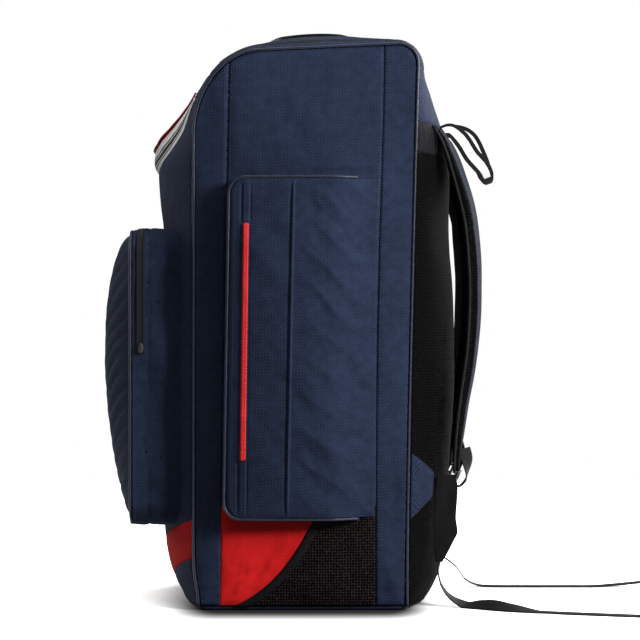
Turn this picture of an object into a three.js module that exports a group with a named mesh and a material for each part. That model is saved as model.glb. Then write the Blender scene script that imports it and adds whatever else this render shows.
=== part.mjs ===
// Upright cricket kit bag that is worn on the back, standing on its base.
// Millimetres, +Z up, front towards -Y, the wearer's right side towards +X.
// The origin is on the floor under the middle of the side panels.
import * as THREE from 'three';

// Body
const bodyWidth = 330; // between the two side pipings
const bodyHeight = 816; // floor to the back top corner at the piping
const frontReach = 157; // origin to the front edge at the piping
const backReach = 166; // origin to the back edge at the piping
const frontFootIn = 7; // how far the front edge leans in at the base
const backFootIn = 16;
const domeDepth = 97; // rounded front of the top, front to back
const domeRise = 125;
const topSlope = 9; // the top climbs this much towards the back
const backCorner = 28;
const fullness = 70; // how far the stuffed back stands out between the pipings
const sideFullness = 20;
const cloth = 2.5; // wall of the padded polyester panels
const pipe = 2.2; // radius of the piping cord
const gap = 0.3; // clearance between pieces
const ease = 0.6; // clearance under a piece that lies on a curved panel

// Base
const basePipe = 4;
const baseCorner = 12;

// Panel seams
const topSeamRise = 96; // length of the dome below the top panel
const bandDrop = 84; // foot of the yoke under the back corner
const bandHeight = 44;
const chevronFoot = 32; // height of the red chevron at the middle of the front
const chevronHeight = 55;
const chevronRise = 44;
const frontSeamTop = -106;
const frontSeamFoot = -119;
const backSeamTop = 117;
const backSeamFoot = 105.5;
const cornerHeight = 150; // the red and mesh corners end under the side pocket
const bindingWidth = 11;
const bindingThickness = 1.5;

// Front pocket
const pocketWidth = 270;
const pocketHeight = 432;
const pocketFoot = 118;
const pocketReach = 251; // origin to the pocket's piping
const pocketFullness = 48;
const pocketCorner = 36;
const pocketZipWidth = 13;
const pocketZipIn = 9; // from the pocket's piping to the zip
const pocketZipDrop = 181; // how far the zip comes down each side
const zipThickness = 1.6;
const sliderLength = 14;
const sliderWidth = 8;
const sliderThickness = 3;

// Side pockets
const sidePocketHeight = 492;
const sidePocketFoot = 132;
const sidePocketFrontTop = -107;
const sidePocketFrontFoot = -114;
const sidePocketDepth = 19;
const sidePocketFullness = 11;
const sidePocketCorner = 26;
const sidePocketRamp = 70; // the face comes down to the back seam over this width
const redZipWidth = 8;
const redZipLength = 336;
const redZipIn = 24; // from the pocket's front edge
const redZipFoot = 219;

// Webbing
const webbing = 1.8; // thickness
const topHandleLength = 165;
const topHandleWidth = 38;
const topHandleLift = 6.5;
const topHandleMiddle = 12; // its middle's distance behind the origin
const frontHandleSpan = 160;
const frontHandleWidth = 38;
const frontHandleDrop = 90;
const frontHandleRise = 62; // its roots above the foot of the dome
const frontHandleLift = 26; // its top edge stands off this far
const mainZipWidth = 22;
const mainZipIn = 34; // from the piping to the middle of the main zip
const haulSpan = 70;
const haulWidth = 26;
const haulReach = 76;
const haulDrop = 76;
const haulSkew = 7; // its right leg hangs this much lower than its middle
const haulRootDrop = 114; // its roots under the body's height

// Harness
const strapSpacing = 170; // between the middles of the shoulder straps
const strapWidth = 75;
const strapThickness = 20;
const strapDrop = 113; // its root under the body's height
const strapFoot = 193;
const lockWidth = 36;
const lockLength = 30;
const lockThickness = 4;
const lockBar = 5;
const slideWidth = 25; // webbing of the buckle and of the waist belt
const anchorHeight = 93;
const anchorTipHeight = 34;
const anchorFoot = 132;
const anchorReach = 52; // from the piping to the tip
const anchorThickness = 3;
const wingHeight = 128;
const wingThickness = 3;

const halfWidth = bodyWidth / 2;
const sides = [
  { label: 'right', sign: 1 },
  { label: 'left', sign: -1 },
];

const navy = { color: 0x1c2a4a, roughness: 0.85, metalness: 0 };
const red = { color: 0xc4202c, roughness: 0.8, metalness: 0 };
const black = { color: 0x17171a, roughness: 0.95, metalness: 0 };
const grey = { color: 0xd2d2d4, roughness: 0.8, metalness: 0 };
const plastic = { color: 0x101013, roughness: 0.45, metalness: 0 };

const bag = new THREE.Group();

function add(name, finish, geometry) {
  const mesh = new THREE.Mesh(geometry, new THREE.MeshStandardMaterial(finish));
  mesh.name = name;
  bag.add(mesh);
}

function mix(a, b, share) {
  return a + (b - a) * share;
}

function clamp(value, low, high) {
  return Math.min(Math.max(value, low), high);
}

function smooth(share) {
  const t = clamp(share, 0, 1);
  return t * t * (3 - 2 * t);
}

// A smooth curve through the rows of a table, read in one column by another.
function read(table, key, column, where) {
  const last = table.length - 1;
  let k = 0;
  while (k < last - 1 && table[k + 1][key] < where) {
    k += 1;
  }
  const slope = (i) => {
    const before = table[Math.max(i - 1, 0)];
    const after = table[Math.min(i + 1, last)];
    return (after[column] - before[column]) / (after[key] - before[key]);
  };
  const span = table[k + 1][key] - table[k][key];
  const t = clamp((where - table[k][key]) / span, 0, 1);
  const low = table[k][column];
  const high = table[k + 1][column];
  const rise = slope(k) * span;
  const fall = slope(k + 1) * span;
  const cubic = 2 * low - 2 * high + rise + fall;
  const square = -3 * low + 3 * high - 2 * rise - fall;
  return cubic * t ** 3 + square * t ** 2 + rise * t + low;
}

// Triangles turned so that they face outwards.
function solid(points, faces) {
  let volume = 0;
  for (const [a, b, c] of faces) {
    const p = points[a];
    const q = points[b];
    const r = points[c];
    volume += p[0] * (q[1] * r[2] - q[2] * r[1]);
    volume += p[1] * (q[2] * r[0] - q[0] * r[2]);
    volume += p[2] * (q[0] * r[1] - q[1] * r[0]);
  }
  const order = volume > 0 ? faces : faces.map(([a, b, c]) => [a, c, b]);
  const geometry = new THREE.BufferGeometry();
  geometry.setAttribute('position', new THREE.Float32BufferAttribute(points.flat(), 3));
  geometry.setIndex(order.flat());
  geometry.computeVertexNormals();
  return geometry;
}

// A closed sheet between an outer and an inner grid. As a ring, its columns join up.
function sheet(rows, columns, at, ring = false) {
  const across = ring ? columns : columns + 1;
  const points = [];
  const faces = [];
  for (const inner of [false, true]) {
    for (let i = 0; i <= rows; i += 1) {
      for (let j = 0; j < across; j += 1) {
        points.push(at(i / rows, j / columns, inner));
      }
    }
  }
  const index = (i, j, inner) => (inner ? (rows + 1) * across : 0) + i * across + (j % across);
  const quad = (a, b, c, d) => faces.push([a, b, c], [a, c, d]);
  for (let j = 0; j < columns; j += 1) {
    for (let i = 0; i < rows; i += 1) {
      quad(index(i, j), index(i, j + 1), index(i + 1, j + 1), index(i + 1, j));
      const low = index(i, j, true);
      const next = index(i + 1, j, true);
      quad(low, next, index(i + 1, j + 1, true), index(i, j + 1, true));
    }
    quad(index(0, j), index(0, j, true), index(0, j + 1, true), index(0, j + 1));
    quad(index(rows, j), index(rows, j + 1), index(rows, j + 1, true), index(rows, j, true));
  }
  if (!ring) {
    for (let i = 0; i < rows; i += 1) {
      const far = columns;
      quad(index(i, 0), index(i + 1, 0), index(i + 1, 0, true), index(i, 0, true));
      quad(index(i, far), index(i, far, true), index(i + 1, far, true), index(i + 1, far));
    }
  }
  return solid(points, faces);
}

// A section carried along frames; each frame places the section's points.
function sweep(count, corners, place, closed = false) {
  const stations = closed ? count : count + 1;
  const points = [];
  const faces = [];
  for (let i = 0; i < stations; i += 1) {
    for (let k = 0; k < corners; k += 1) {
      points.push(place(i / count, k));
    }
  }
  for (let i = 0; i < count; i += 1) {
    for (let k = 0; k < corners; k += 1) {
      const a = i * corners + k;
      const b = i * corners + ((k + 1) % corners);
      const c = ((i + 1) % stations) * corners + ((k + 1) % corners);
      const d = ((i + 1) % stations) * corners + k;
      faces.push([a, b, c], [a, c, d]);
    }
  }
  if (!closed) {
    const end = count * corners;
    for (let k = 1; k < corners - 1; k += 1) {
      faces.push([0, k + 1, k], [end, end + k, end + k + 1]);
    }
  }
  return solid(points, faces);
}

// A cord of round section through frames, each with its place and two axes of the section.
function cord(frames, corners, radius, closed) {
  const count = closed ? frames.length : frames.length - 1;
  return sweep(count, corners, (t, k) => {
    const { at, out, rise } = frames[Math.round(t * count)];
    const angle = (2 * Math.PI * k) / corners;
    const point = at.clone().addScaledVector(out, radius * Math.cos(angle));
    return point.addScaledVector(rise, radius * Math.sin(angle)).toArray();
  }, closed);
}

// Values spread evenly from low to high, without the last.
function spread(low, high, count) {
  return Array.from({ length: count }, (_, k) => mix(low, high, k / count));
}

// The outline at the piping, from the front foot over the top to the back foot.
// x of this flat path is the bag's Y, and y is its Z.
const basePipeRise = basePipe * Math.sin(Math.PI / 3); // its section is a hexagon lying flat
const bodyFoot = 2 * basePipeRise + gap;
const domeFoot = bodyHeight - topSlope - domeRise;
const outline = new THREE.Path();
outline.moveTo(-frontReach + frontFootIn, bodyFoot);
const footRise = 12 * frontFootIn;
outline.bezierCurveTo(
  -frontReach + frontFootIn, bodyFoot + footRise / 3,
  -frontReach, bodyFoot + footRise / 3,
  -frontReach, bodyFoot + footRise,
);
outline.lineTo(-frontReach, domeFoot);
outline.absellipse(-frontReach + domeDepth, domeFoot, domeDepth, domeRise, Math.PI, Math.PI / 2, true);
outline.lineTo(backReach - backCorner, bodyHeight);
outline.absarc(backReach - backCorner, bodyHeight - backCorner, backCorner, Math.PI / 2, 0, true);
outline.bezierCurveTo(
  backReach - 0.37 * backFootIn, 0.69 * bodyHeight,
  backReach - backFootIn, 0.25 * bodyHeight,
  backReach - backFootIn, bodyFoot,
);
outline.arcLengthDivisions = 900;
const outlineLength = outline.getLength();

// How far the panels between the pipings stand out, as shares of the fullness,
// at shares of the outline's length.
const fullnessTable = [
  { where: 0, out: 0.38 },
  { where: 0.04, out: 0.68 },
  { where: 0.12, out: 0.75 },
  { where: 0.29, out: 0.72 },
  { where: 0.32, out: 0.79 },
  { where: 0.341, out: 0.8 },
  { where: 0.355, out: 0.56 },
  { where: 0.37, out: 0.32 },
  { where: 0.4, out: 0.24 },
  { where: 0.43, out: 0.24 },
  { where: 0.45, out: 0.3 },
  { where: 0.47, out: 0.41 },
  { where: 0.5, out: 0.44 },
  { where: 0.53, out: 0.36 },
  { where: 0.56, out: 0.26 },
  { where: 0.585, out: 0.2 },
  { where: 0.6, out: 0.34 },
  { where: 0.63, out: 0.62 },
  { where: 0.66, out: 0.78 },
  { where: 0.7, out: 0.82 },
  { where: 0.75, out: 0.93 },
  { where: 0.8, out: 1 },
  { where: 0.84, out: 1 },
  { where: 0.93, out: 0.87 },
  { where: 0.98, out: 0.75 },
  { where: 1, out: 0.5 },
];

function station(s) {
  const share = clamp(s / outlineLength, 0, 1);
  const at = outline.getPointAt(share);
  const along = outline.getTangentAt(clamp(share, 0.0005, 0.9995));
  return { y: at.x, z: at.y, outY: -along.y, outZ: along.x };
}

// A point on the panels between the pipings, s along the outline and x across.
function skin(s, x, lift) {
  const { y, z, outY, outZ } = station(s);
  const across = Math.max(1 - (x / halfWidth) ** 2, 0);
  const out = fullness * read(fullnessTable, 'where', 'out', s / outlineLength) * across + lift;
  return [x, y + outY * out, z + outZ * out];
}

// Lengths along the outline at a height on the front or the back.
function alongAt(height, low, high) {
  let a = low;
  let b = high;
  const rising = station(low).z < station(high).z;
  for (let i = 0; i < 40; i += 1) {
    const middle = (a + b) / 2;
    if (station(middle).z < height === rising) {
      a = middle;
    } else {
      b = middle;
    }
  }
  return (a + b) / 2;
}

// The length along the outline at a depth over the top.
function overTop(depth) {
  let a = frontLength;
  let b = yokeSeam;
  for (let i = 0; i < 40; i += 1) {
    const middle = (a + b) / 2;
    if (station(middle).y < depth) {
      a = middle;
    } else {
      b = middle;
    }
  }
  return (a + b) / 2;
}

const frontLength = alongAt(domeFoot, 0, 0.45 * outlineLength);
const backStart = outlineLength - (bodyHeight - backCorner - bodyFoot);
const frontAt = (height) => alongAt(height, 0, frontLength);
const backAt = (height) => alongAt(height, backStart, outlineLength);
const topSeam = frontLength + topSeamRise;
const yokeSeam = backAt(bodyHeight - backCorner - gap);
const bandSeam = yokeSeam + bandDrop;
const meshSeam = bandSeam + bandHeight;

// Panels between the pipings. Each ends just short of the piping. Where bunch is under 1,
// the rows lie closer together towards the panel's end.
const panelHalf = halfWidth - cloth - gap;

function panel(name, finish, rows, columns, from, to, bunch = 1) {
  add(name, finish, sheet(rows, columns, (i, j, inner) => {
    const x = mix(-panelHalf, panelHalf, j);
    const s = mix(from(x), to(x), i ** bunch);
    return skin(s, x, inner ? -cloth : 0);
  }));
}

const chevronLow = (x) => frontAt(chevronFoot) + chevronRise * Math.abs(x) / halfWidth;
const chevronHigh = (x) => chevronLow(x) + chevronHeight;
panel('front_foot_panel', navy, 3, 10, () => 0, (x) => chevronLow(x) - gap / 2);
panel('front_red_band', red, 2, 10, (x) => chevronLow(x) + gap / 2, (x) => chevronHigh(x) - gap / 2);
panel('front_panel', navy, 15, 10, (x) => chevronHigh(x) + gap / 2, () => topSeam - gap / 2, 0.6);
panel('top_panel', navy, 12, 10, () => topSeam + gap / 2, () => yokeSeam - gap / 2);
panel('back_yoke', navy, 3, 10, () => yokeSeam + gap / 2, () => bandSeam - gap / 2);
panel('back_band', black, 2, 10, () => bandSeam + gap / 2, () => meshSeam - gap / 2);
panel('back_mesh_pad', black, 11, 10, () => meshSeam + gap / 2, () => outlineLength);

// The side panels bulge between the pipings.
function sideX(y, z) {
  const rise = clamp((z - domeFoot) / domeRise, 0, 1);
  const front = -frontReach + domeDepth * (1 - Math.sqrt(1 - rise ** 2));
  const back = mix(backReach - backFootIn, backReach, z / bodyHeight);
  const across = clamp(Math.abs((2 * y - front - back) / (back - front)), 0, 1);
  const up = clamp(Math.abs((2 * z) / bodyHeight - 1), 0, 1);
  return halfWidth + sideFullness * (1 - across ** 2.5) * (1 - up ** 5);
}

const inset = cloth + gap;

function rim(share) {
  const { y, z, outY, outZ } = station(share * outlineLength);
  return { y: y - outY * inset, z: z - outZ * inset };
}

// Where the rim reaches a given Y, between two shares of the outline.
function rimShare(y, low, high) {
  let a = low;
  let b = high;
  for (let i = 0; i < 40; i += 1) {
    const middle = (a + b) / 2;
    if (rim(middle).y < y) {
      a = middle;
    } else {
      b = middle;
    }
  }
  return (a + b) / 2;
}

const frontSeam = (z) => mix(frontSeamFoot, frontSeamTop, z / bodyHeight);
const backSeam = (z) => mix(backSeamFoot, backSeamTop, smooth(z / bodyHeight) ** 3);
const domeStart = (frontLength - 1) / outlineLength;
const topMiddle = (frontLength + topSeamRise * 2) / outlineLength;
const cornerEnd = (yokeSeam - 1) / outlineLength;
const frontTop = rimShare(frontSeamTop, domeStart, topMiddle);
const backTop = rimShare(backSeamTop, topMiddle, cornerEnd);

// A strip of the side: its left and right edges, and its columns' ends at the top.
function sideStrip(label, sign, finish, rows, columns, foot, left, right, top) {
  add(label, finish, sheet(rows, columns, (i, j, inner) => {
    const head = top(j);
    const up = i ** 1.25;
    const z = mix(foot, head.z, up);
    const straight = mix(mix(left(foot), right(foot), j), head.y, up);
    const y = straight + bow(up, j, z, foot, left, right, head);
    const x = sideX(y, z) - (inner ? cloth : 0);
    return [sign * x, y, z];
  }));
}

// The seams aren't straight, so a column leans with them between its two ends.
function bow(up, j, z, foot, left, right, head) {
  const straight = mix(mix(left(foot), right(foot), j), mix(left(head.z), right(head.z), j), up);
  return mix(left(z), right(z), j) - straight;
}

const frontEdge = (z) => rim(frontAt(clamp(z, bodyFoot, domeFoot)) / outlineLength).y;
const backEdge = (z) => rim(backAt(clamp(z, bodyFoot, bodyHeight - backCorner)) / outlineLength).y;

// The arc between the red and the mesh corner, in shares of the width between the seams.
const arcFoot = 0.1;
const arcHead = 0.63;
const arcBow = { across: 0.46, up: 0.3 };
const betweenSeams = (share) => mix(frontSeamFoot, backSeamFoot, share);
const arcStart = new THREE.Vector2(betweenSeams(arcFoot), bodyFoot);
const arcEnd = new THREE.Vector2(betweenSeams(arcHead), cornerHeight);
const arcPull = new THREE.Vector2(betweenSeams(arcBow.across), arcBow.up * cornerHeight);
const cornerArc = new THREE.QuadraticBezierCurve(arcStart, arcPull, arcEnd);

// The piping's stations lie closer together where the outline bends.
const domeEnd = overTop(domeDepth - frontReach);
const cornerStart = overTop(backReach - backCorner);
const pipingStops = [
  ...spread(0, footRise, 4),
  ...spread(footRise, frontLength, 4),
  ...spread(frontLength, domeEnd, 9),
  ...spread(domeEnd, cornerStart, 3),
  ...spread(cornerStart, yokeSeam, 5),
  ...spread(yokeSeam, outlineLength, 8),
  outlineLength,
];

for (const { label, sign } of sides) {
  const half = gap / 2;
  sideStrip(`side_front_strip_${label}`, sign, navy, 13, 4, bodyFoot, frontEdge,
    (z) => frontSeam(z) - half, (j) => {
      const head = rim(mix(domeStart, frontTop, j));
      return { y: head.y - half * j, z: head.z };
    });
  sideStrip(`side_back_strip_${label}`, sign, navy, 12, 4, bodyFoot, (z) => backSeam(z) + half,
    backEdge, (j) => {
      const head = rim(mix(backTop, cornerEnd, j));
      return { y: head.y + half * (1 - j), z: head.z };
    });
  sideStrip(`side_centre_${label}`, sign, navy, 11, 6, cornerHeight + half, (z) => frontSeam(z) + half,
    (z) => backSeam(z) - half, (j) => {
      const head = rim(mix(frontTop, backTop, j));
      return { y: head.y + half * (1 - 2 * j), z: head.z };
    });
  const corner = (name, finish, left, right) => {
    add(`${name}_${label}`, finish, sheet(6, 3, (i, j, inner) => {
      const arc = cornerArc.getPoint(i);
      const height = Math.min(arc.y, cornerHeight - half);
      const y = mix(left(arc, height), right(arc, height), j);
      return [sign * (sideX(y, height) - (inner ? cloth : 0)), y, height];
    }));
  };
  corner('side_red_corner', red, (arc, z) => frontSeam(z) + half, (arc) => arc.x - half);
  corner('side_mesh_corner', black, (arc) => arc.x + half, (arc, z) => backSeam(z) - half);
  add(`corner_binding_${label}`, black, sheet(7, 1, (i, j, inner) => {
    const share = mix(0.02, 0.86, i);
    const arc = cornerArc.getPoint(share);
    const along = cornerArc.getTangent(share);
    const out = j * bindingWidth;
    const y = arc.x + along.y * out;
    const z = Math.max(arc.y - along.x * out, bodyFoot);
    return [sign * (sideX(y, z) + ease + (inner ? 0 : bindingThickness)), y, z];
  }));
  const frames = pipingStops.map((s) => {
    const { y, z, outY, outZ } = station(s);
    const at = new THREE.Vector3(sign * halfWidth, y, z);
    return { at, out: new THREE.Vector3(0, outY, outZ), rise: new THREE.Vector3(1, 0, 0) };
  });
  add(`side_piping_${label}`, navy, cord(frames, 5, pipe, false));
}

// The base: a flat plate inside a round binding that follows the foot of the panels.
const frontBulge = fullness * fullnessTable[0].out;
const backBulge = fullness * fullnessTable[fullnessTable.length - 1].out;
const frontFoot = -frontReach + frontFootIn;
const backFoot = backReach - backFootIn;

// A closed loop round the foot, counted from the front left corner.
const footLoop = new THREE.Path();
const footHalf = halfWidth - basePipe / 2;
footLoop.moveTo(-footHalf + baseCorner, frontFoot);
footLoop.quadraticCurveTo(0, frontFoot - 2 * frontBulge, footHalf - baseCorner, frontFoot);
footLoop.quadraticCurveTo(footHalf, frontFoot, footHalf, frontFoot + baseCorner);
footLoop.lineTo(footHalf, backFoot - baseCorner);
footLoop.quadraticCurveTo(footHalf, backFoot, footHalf - baseCorner, backFoot);
footLoop.quadraticCurveTo(0, backFoot + 2 * backBulge, -footHalf + baseCorner, backFoot);
footLoop.quadraticCurveTo(-footHalf, backFoot, -footHalf, backFoot - baseCorner);
footLoop.lineTo(-footHalf, frontFoot + baseCorner);
footLoop.quadraticCurveTo(-footHalf, frontFoot, -footHalf + baseCorner, frontFoot);
const footCount = 40;

function footFrame(t) {
  const share = (t + 1e-4) % 1;
  const at = footLoop.getPointAt(share);
  const along = footLoop.getTangentAt(share);
  return { at, out: new THREE.Vector2(along.y, -along.x) };
}

const footFrames = spread(0, 1, footCount).map((t) => {
  const { at, out } = footFrame(t);
  const middle = at.clone().addScaledVector(out, -basePipe);
  return {
    at: new THREE.Vector3(middle.x, middle.y, basePipeRise),
    out: new THREE.Vector3(out.x, out.y, 0),
    rise: new THREE.Vector3(0, 0, 1),
  };
});
add('base_piping', navy, cord(footFrames, 6, basePipe, true));
const baseShape = new THREE.Shape();
for (let k = 0; k < footCount; k += 1) {
  const { at, out } = footFrame(k / footCount);
  const edge = at.clone().addScaledVector(out, -2 * basePipe - gap);
  if (k === 0) {
    baseShape.moveTo(edge.x, edge.y);
  } else {
    baseShape.lineTo(edge.x, edge.y);
  }
}
add('base_panel', navy, new THREE.ExtrudeGeometry(baseShape, { depth: cloth, bevelEnabled: false }));

// A band on the panels between the pipings, along a path of { s, x }.
function band(name, finish, rows, columns, width, thickness, path, lift) {
  add(name, finish, sheet(rows, columns, (i, j, inner) => {
    const here = path(i);
    const before = path(Math.max(i - 0.01, 0));
    const after = path(Math.min(i + 0.01, 1));
    const along = new THREE.Vector2(after.x - before.x, after.s - before.s).normalize();
    const out = (j - 0.5) * width;
    const height = lift(i, j) + (inner ? 0 : thickness);
    return skin(here.s + along.x * out, here.x - along.y * out, height);
  }));
}

// The main zip runs round the front and both sides of the top panel.
const zipHalf = halfWidth - mainZipIn;
const zipFront = topSeam + mainZipWidth;
const zipBack = yokeSeam - mainZipIn;
const zipTurn = 40;
const zipPath = new THREE.Path();
zipPath.moveTo(-zipHalf, zipBack);
zipPath.lineTo(-zipHalf, zipFront + zipTurn);
zipPath.quadraticCurveTo(-zipHalf, zipFront, -zipHalf + zipTurn, zipFront);
zipPath.lineTo(zipHalf - zipTurn, zipFront);
zipPath.quadraticCurveTo(zipHalf, zipFront, zipHalf, zipFront + zipTurn);
zipPath.lineTo(zipHalf, zipBack);
const onZip = (t) => {
  const at = zipPath.getPointAt(t);
  return { s: at.y, x: at.x };
};
band('main_zip', black, 38, 1, mainZipWidth, zipThickness, onZip, () => 2.2 * ease);
band('main_zip_slider', plastic, 1, 1, mainZipWidth / 3, 4, (t) => onZip(mix(0.03, 0.06, t)),
  () => 2.2 * ease + zipThickness + gap);

// Grab handle along the top, sewn down at both ends.
band('top_handle', grey, 12, 1, topHandleWidth, webbing, (t) => ({
  s: overTop(topHandleMiddle) + topHandleLength * (t - 0.5),
  x: 0,
}), (t) => ease + topHandleLift * smooth(4 * Math.min(t, 1 - t)));

// Grab handle across the front: it hangs from its two roots and leans off the front.
const handleFoot = frontLength + frontHandleRise;
band('front_handle', grey, 20, 2, frontHandleWidth, webbing, (t) => {
  const across = 2 * t - 1;
  return {
    s: handleFoot - frontHandleDrop * (1 - Math.abs(across) ** 2.4),
    x: (frontHandleSpan / 2) * Math.sign(across) * Math.abs(across) ** 0.8,
  };
}, (t, j) => 2.2 * ease + frontHandleLift * smooth(4 * Math.min(t, 1 - t)) * j);

// Front pocket: a gusset, a domed face and the piping between them.
const pocketHalf = pocketWidth / 2;

// Stations round the pocket's outline, closer together in its corners. They start at the
// bottom, and the ones from sideLow to sideHigh carry the zip.
const pocketHead = pocketFoot + pocketHeight;
const zipFoot = pocketHead - pocketZipDrop;
const pocketLoop = [];

function pocketStop(x, z, outX, outZ) {
  pocketLoop.push({ at: new THREE.Vector2(x, z), out: new THREE.Vector2(outX, outZ) });
}

function pocketTurn(x, z, from) {
  for (const angle of spread(from, from + Math.PI / 2, 4)) {
    const out = [Math.cos(angle), Math.sin(angle)];
    pocketStop(x + pocketCorner * out[0], z + pocketCorner * out[1], ...out);
  }
}

const turnX = pocketHalf - pocketCorner;
spread(-turnX, turnX, 5).forEach((x) => pocketStop(x, pocketFoot, 0, -1));
pocketTurn(turnX, pocketFoot + pocketCorner, -Math.PI / 2);
spread(pocketFoot + pocketCorner, zipFoot, 3).forEach((z) => pocketStop(pocketHalf, z, 1, 0));
const zipFirst = pocketLoop.length;
spread(zipFoot, pocketHead - pocketCorner, 3).forEach((z) => pocketStop(pocketHalf, z, 1, 0));
pocketTurn(turnX, pocketHead - pocketCorner, 0);
spread(turnX, -turnX, 5).forEach((x) => pocketStop(x, pocketHead, 0, 1));
pocketTurn(-turnX, pocketHead - pocketCorner, Math.PI / 2);
spread(pocketHead - pocketCorner, zipFoot, 3).forEach((z) => pocketStop(-pocketHalf, z, -1, 0));
const zipSteps = pocketLoop.length - zipFirst;
spread(zipFoot, pocketFoot + pocketCorner, 3).forEach((z) => pocketStop(-pocketHalf, z, -1, 0));
pocketTurn(-turnX, pocketFoot + pocketCorner, Math.PI);

const frontY = (x, z) => skin(frontAt(z), x, 0)[1];
const gussetRoot = (x, z) => frontY(x, z) - 2.2 * ease;
const pocketCount = pocketLoop.length;
add('pocket_gusset', navy, sheet(1, pocketCount, (i, j, inner) => {
  const { at, out } = pocketLoop[Math.round(j * pocketCount) % pocketCount];
  const edge = at.clone().addScaledVector(out, inner ? -cloth : 0);
  return [edge.x, mix(gussetRoot(edge.x, edge.y), -pocketReach + pipe + gap, i), edge.y];
}, true));
const pocketFrames = pocketLoop.map(({ at, out }) => {
  const middle = at.clone().addScaledVector(out, -pipe);
  return {
    at: new THREE.Vector3(middle.x, -pocketReach, middle.y),
    out: new THREE.Vector3(out.x, 0, out.y),
    rise: new THREE.Vector3(0, 1, 0),
  };
});
add('pocket_piping', navy, cord(pocketFrames, 5, pipe, true));
const faceInset = 2 * pipe + 2 * gap;
const faceHalf = pocketHalf - faceInset;
const faceCorner = pocketCorner - faceInset;
const faceFoot = pocketFoot + faceInset;
const faceHead = pocketHead - faceInset;

function pocketFace(x, z, half) {
  const up = clamp((z - faceFoot) / (faceHead - faceFoot), 0, 1);
  const dome = Math.sin(Math.PI * up ** 1.3) ** 0.4;
  const across = 1 - Math.abs(x / half) ** 2.6;
  return -pocketReach - pocketFullness * dome * across;
}

add('pocket_face', navy, sheet(12, 7, (i, j, inner) => {
  const z = mix(faceFoot, faceHead, (1 - Math.cos(Math.PI * i)) / 2);
  const end = Math.min(z - faceFoot, faceHead - z, faceCorner);
  const half = faceHalf - faceCorner + Math.sqrt(faceCorner ** 2 - (faceCorner - end) ** 2);
  const x = mix(-half, half, j);
  return [x, pocketFace(x, z, half) + (inner ? cloth : 0), z];
}));

// The pocket's zip follows the gusset over the top and down both sides.
const pocketZipY = -pocketReach + pocketZipIn;
add('pocket_zip', black, sheet(zipSteps, 1, (i, j, inner) => {
  const { at, out } = pocketLoop[zipFirst + Math.round(i * zipSteps)];
  const edge = at.clone().addScaledVector(out, ease + (inner ? 0 : zipThickness));
  return [edge.x, mix(pocketZipY, pocketZipY + pocketZipWidth, j), edge.y];
}));
const slider = new THREE.BoxGeometry(sliderThickness, sliderWidth, sliderLength);
const sliderX = pocketHalf + ease + zipThickness + gap + sliderThickness / 2;
slider.translate(sliderX, pocketZipY + pocketZipWidth / 2, zipFoot + sliderLength / 2 + pipe / 2);
add('pocket_slider', plastic, slider);

// Side pockets: sewn flush into the back seam, standing off on the other three sides.
function pocketEdge(z, offset) {
  const foot = sidePocketFoot + offset;
  const head = sidePocketFoot + sidePocketHeight - offset;
  const lean = mix(sidePocketFrontFoot, sidePocketFrontTop, (z - foot) / (head - foot));
  const turn = sidePocketCorner - offset;
  const end = clamp(Math.min(z - foot, head - z), 0, turn);
  return lean + offset + turn - Math.sqrt(turn ** 2 - (turn - end) ** 2);
}

const rearEdge = (z) => backSeam(z) - 2;

function pocketStand(y, z) {
  const off = smooth((rearEdge(z) - y) / sidePocketRamp);
  const up = (z - sidePocketFoot) / sidePocketHeight;
  const across = (y - sidePocketFrontFoot) / (rearEdge(z) - sidePocketFrontFoot);
  const round = Math.sin(Math.PI * clamp(up, 0, 1)) ** 0.6 * Math.sin(Math.PI * clamp(across, 0, 1));
  return sideX(y, z) + ease + cloth + sidePocketDepth * off + sidePocketFullness * round;
}

// Stations along the pocket's three free sides, from the foot round the front to the top.
const freeEdge = [];

function freeStop(y, z, outY, outZ) {
  freeEdge.push({ at: new THREE.Vector2(y, z), out: new THREE.Vector2(outY, outZ) });
}

function freeTurn(y, z, from) {
  for (const angle of spread(from, from - Math.PI / 2, 4)) {
    const out = [Math.cos(angle), Math.sin(angle)];
    freeStop(y + sidePocketCorner * out[0], z + sidePocketCorner * out[1], ...out);
  }
}

const sidePocketHead = sidePocketFoot + sidePocketHeight;
const freeEnd = rearEdge(sidePocketFoot) - sidePocketRamp / 3;
const footTurn = sidePocketFrontFoot + sidePocketCorner;
const headTurn = sidePocketFrontTop + sidePocketCorner;
spread(freeEnd, footTurn, 5).forEach((y) => freeStop(y, sidePocketFoot, 0, -1));
freeTurn(footTurn, sidePocketFoot + sidePocketCorner, -Math.PI / 2);
spread(0, 1, 7).forEach((t) => {
  const z = mix(sidePocketFoot + sidePocketCorner, sidePocketHead - sidePocketCorner, t);
  freeStop(mix(sidePocketFrontFoot, sidePocketFrontTop, t), z, -1, 0);
});
freeTurn(headTurn, sidePocketHead - sidePocketCorner, Math.PI);
spread(headTurn, freeEnd, 5).forEach((y) => freeStop(y, sidePocketHead, 0, 1));
freeStop(freeEnd, sidePocketHead, 0, 1);

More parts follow.
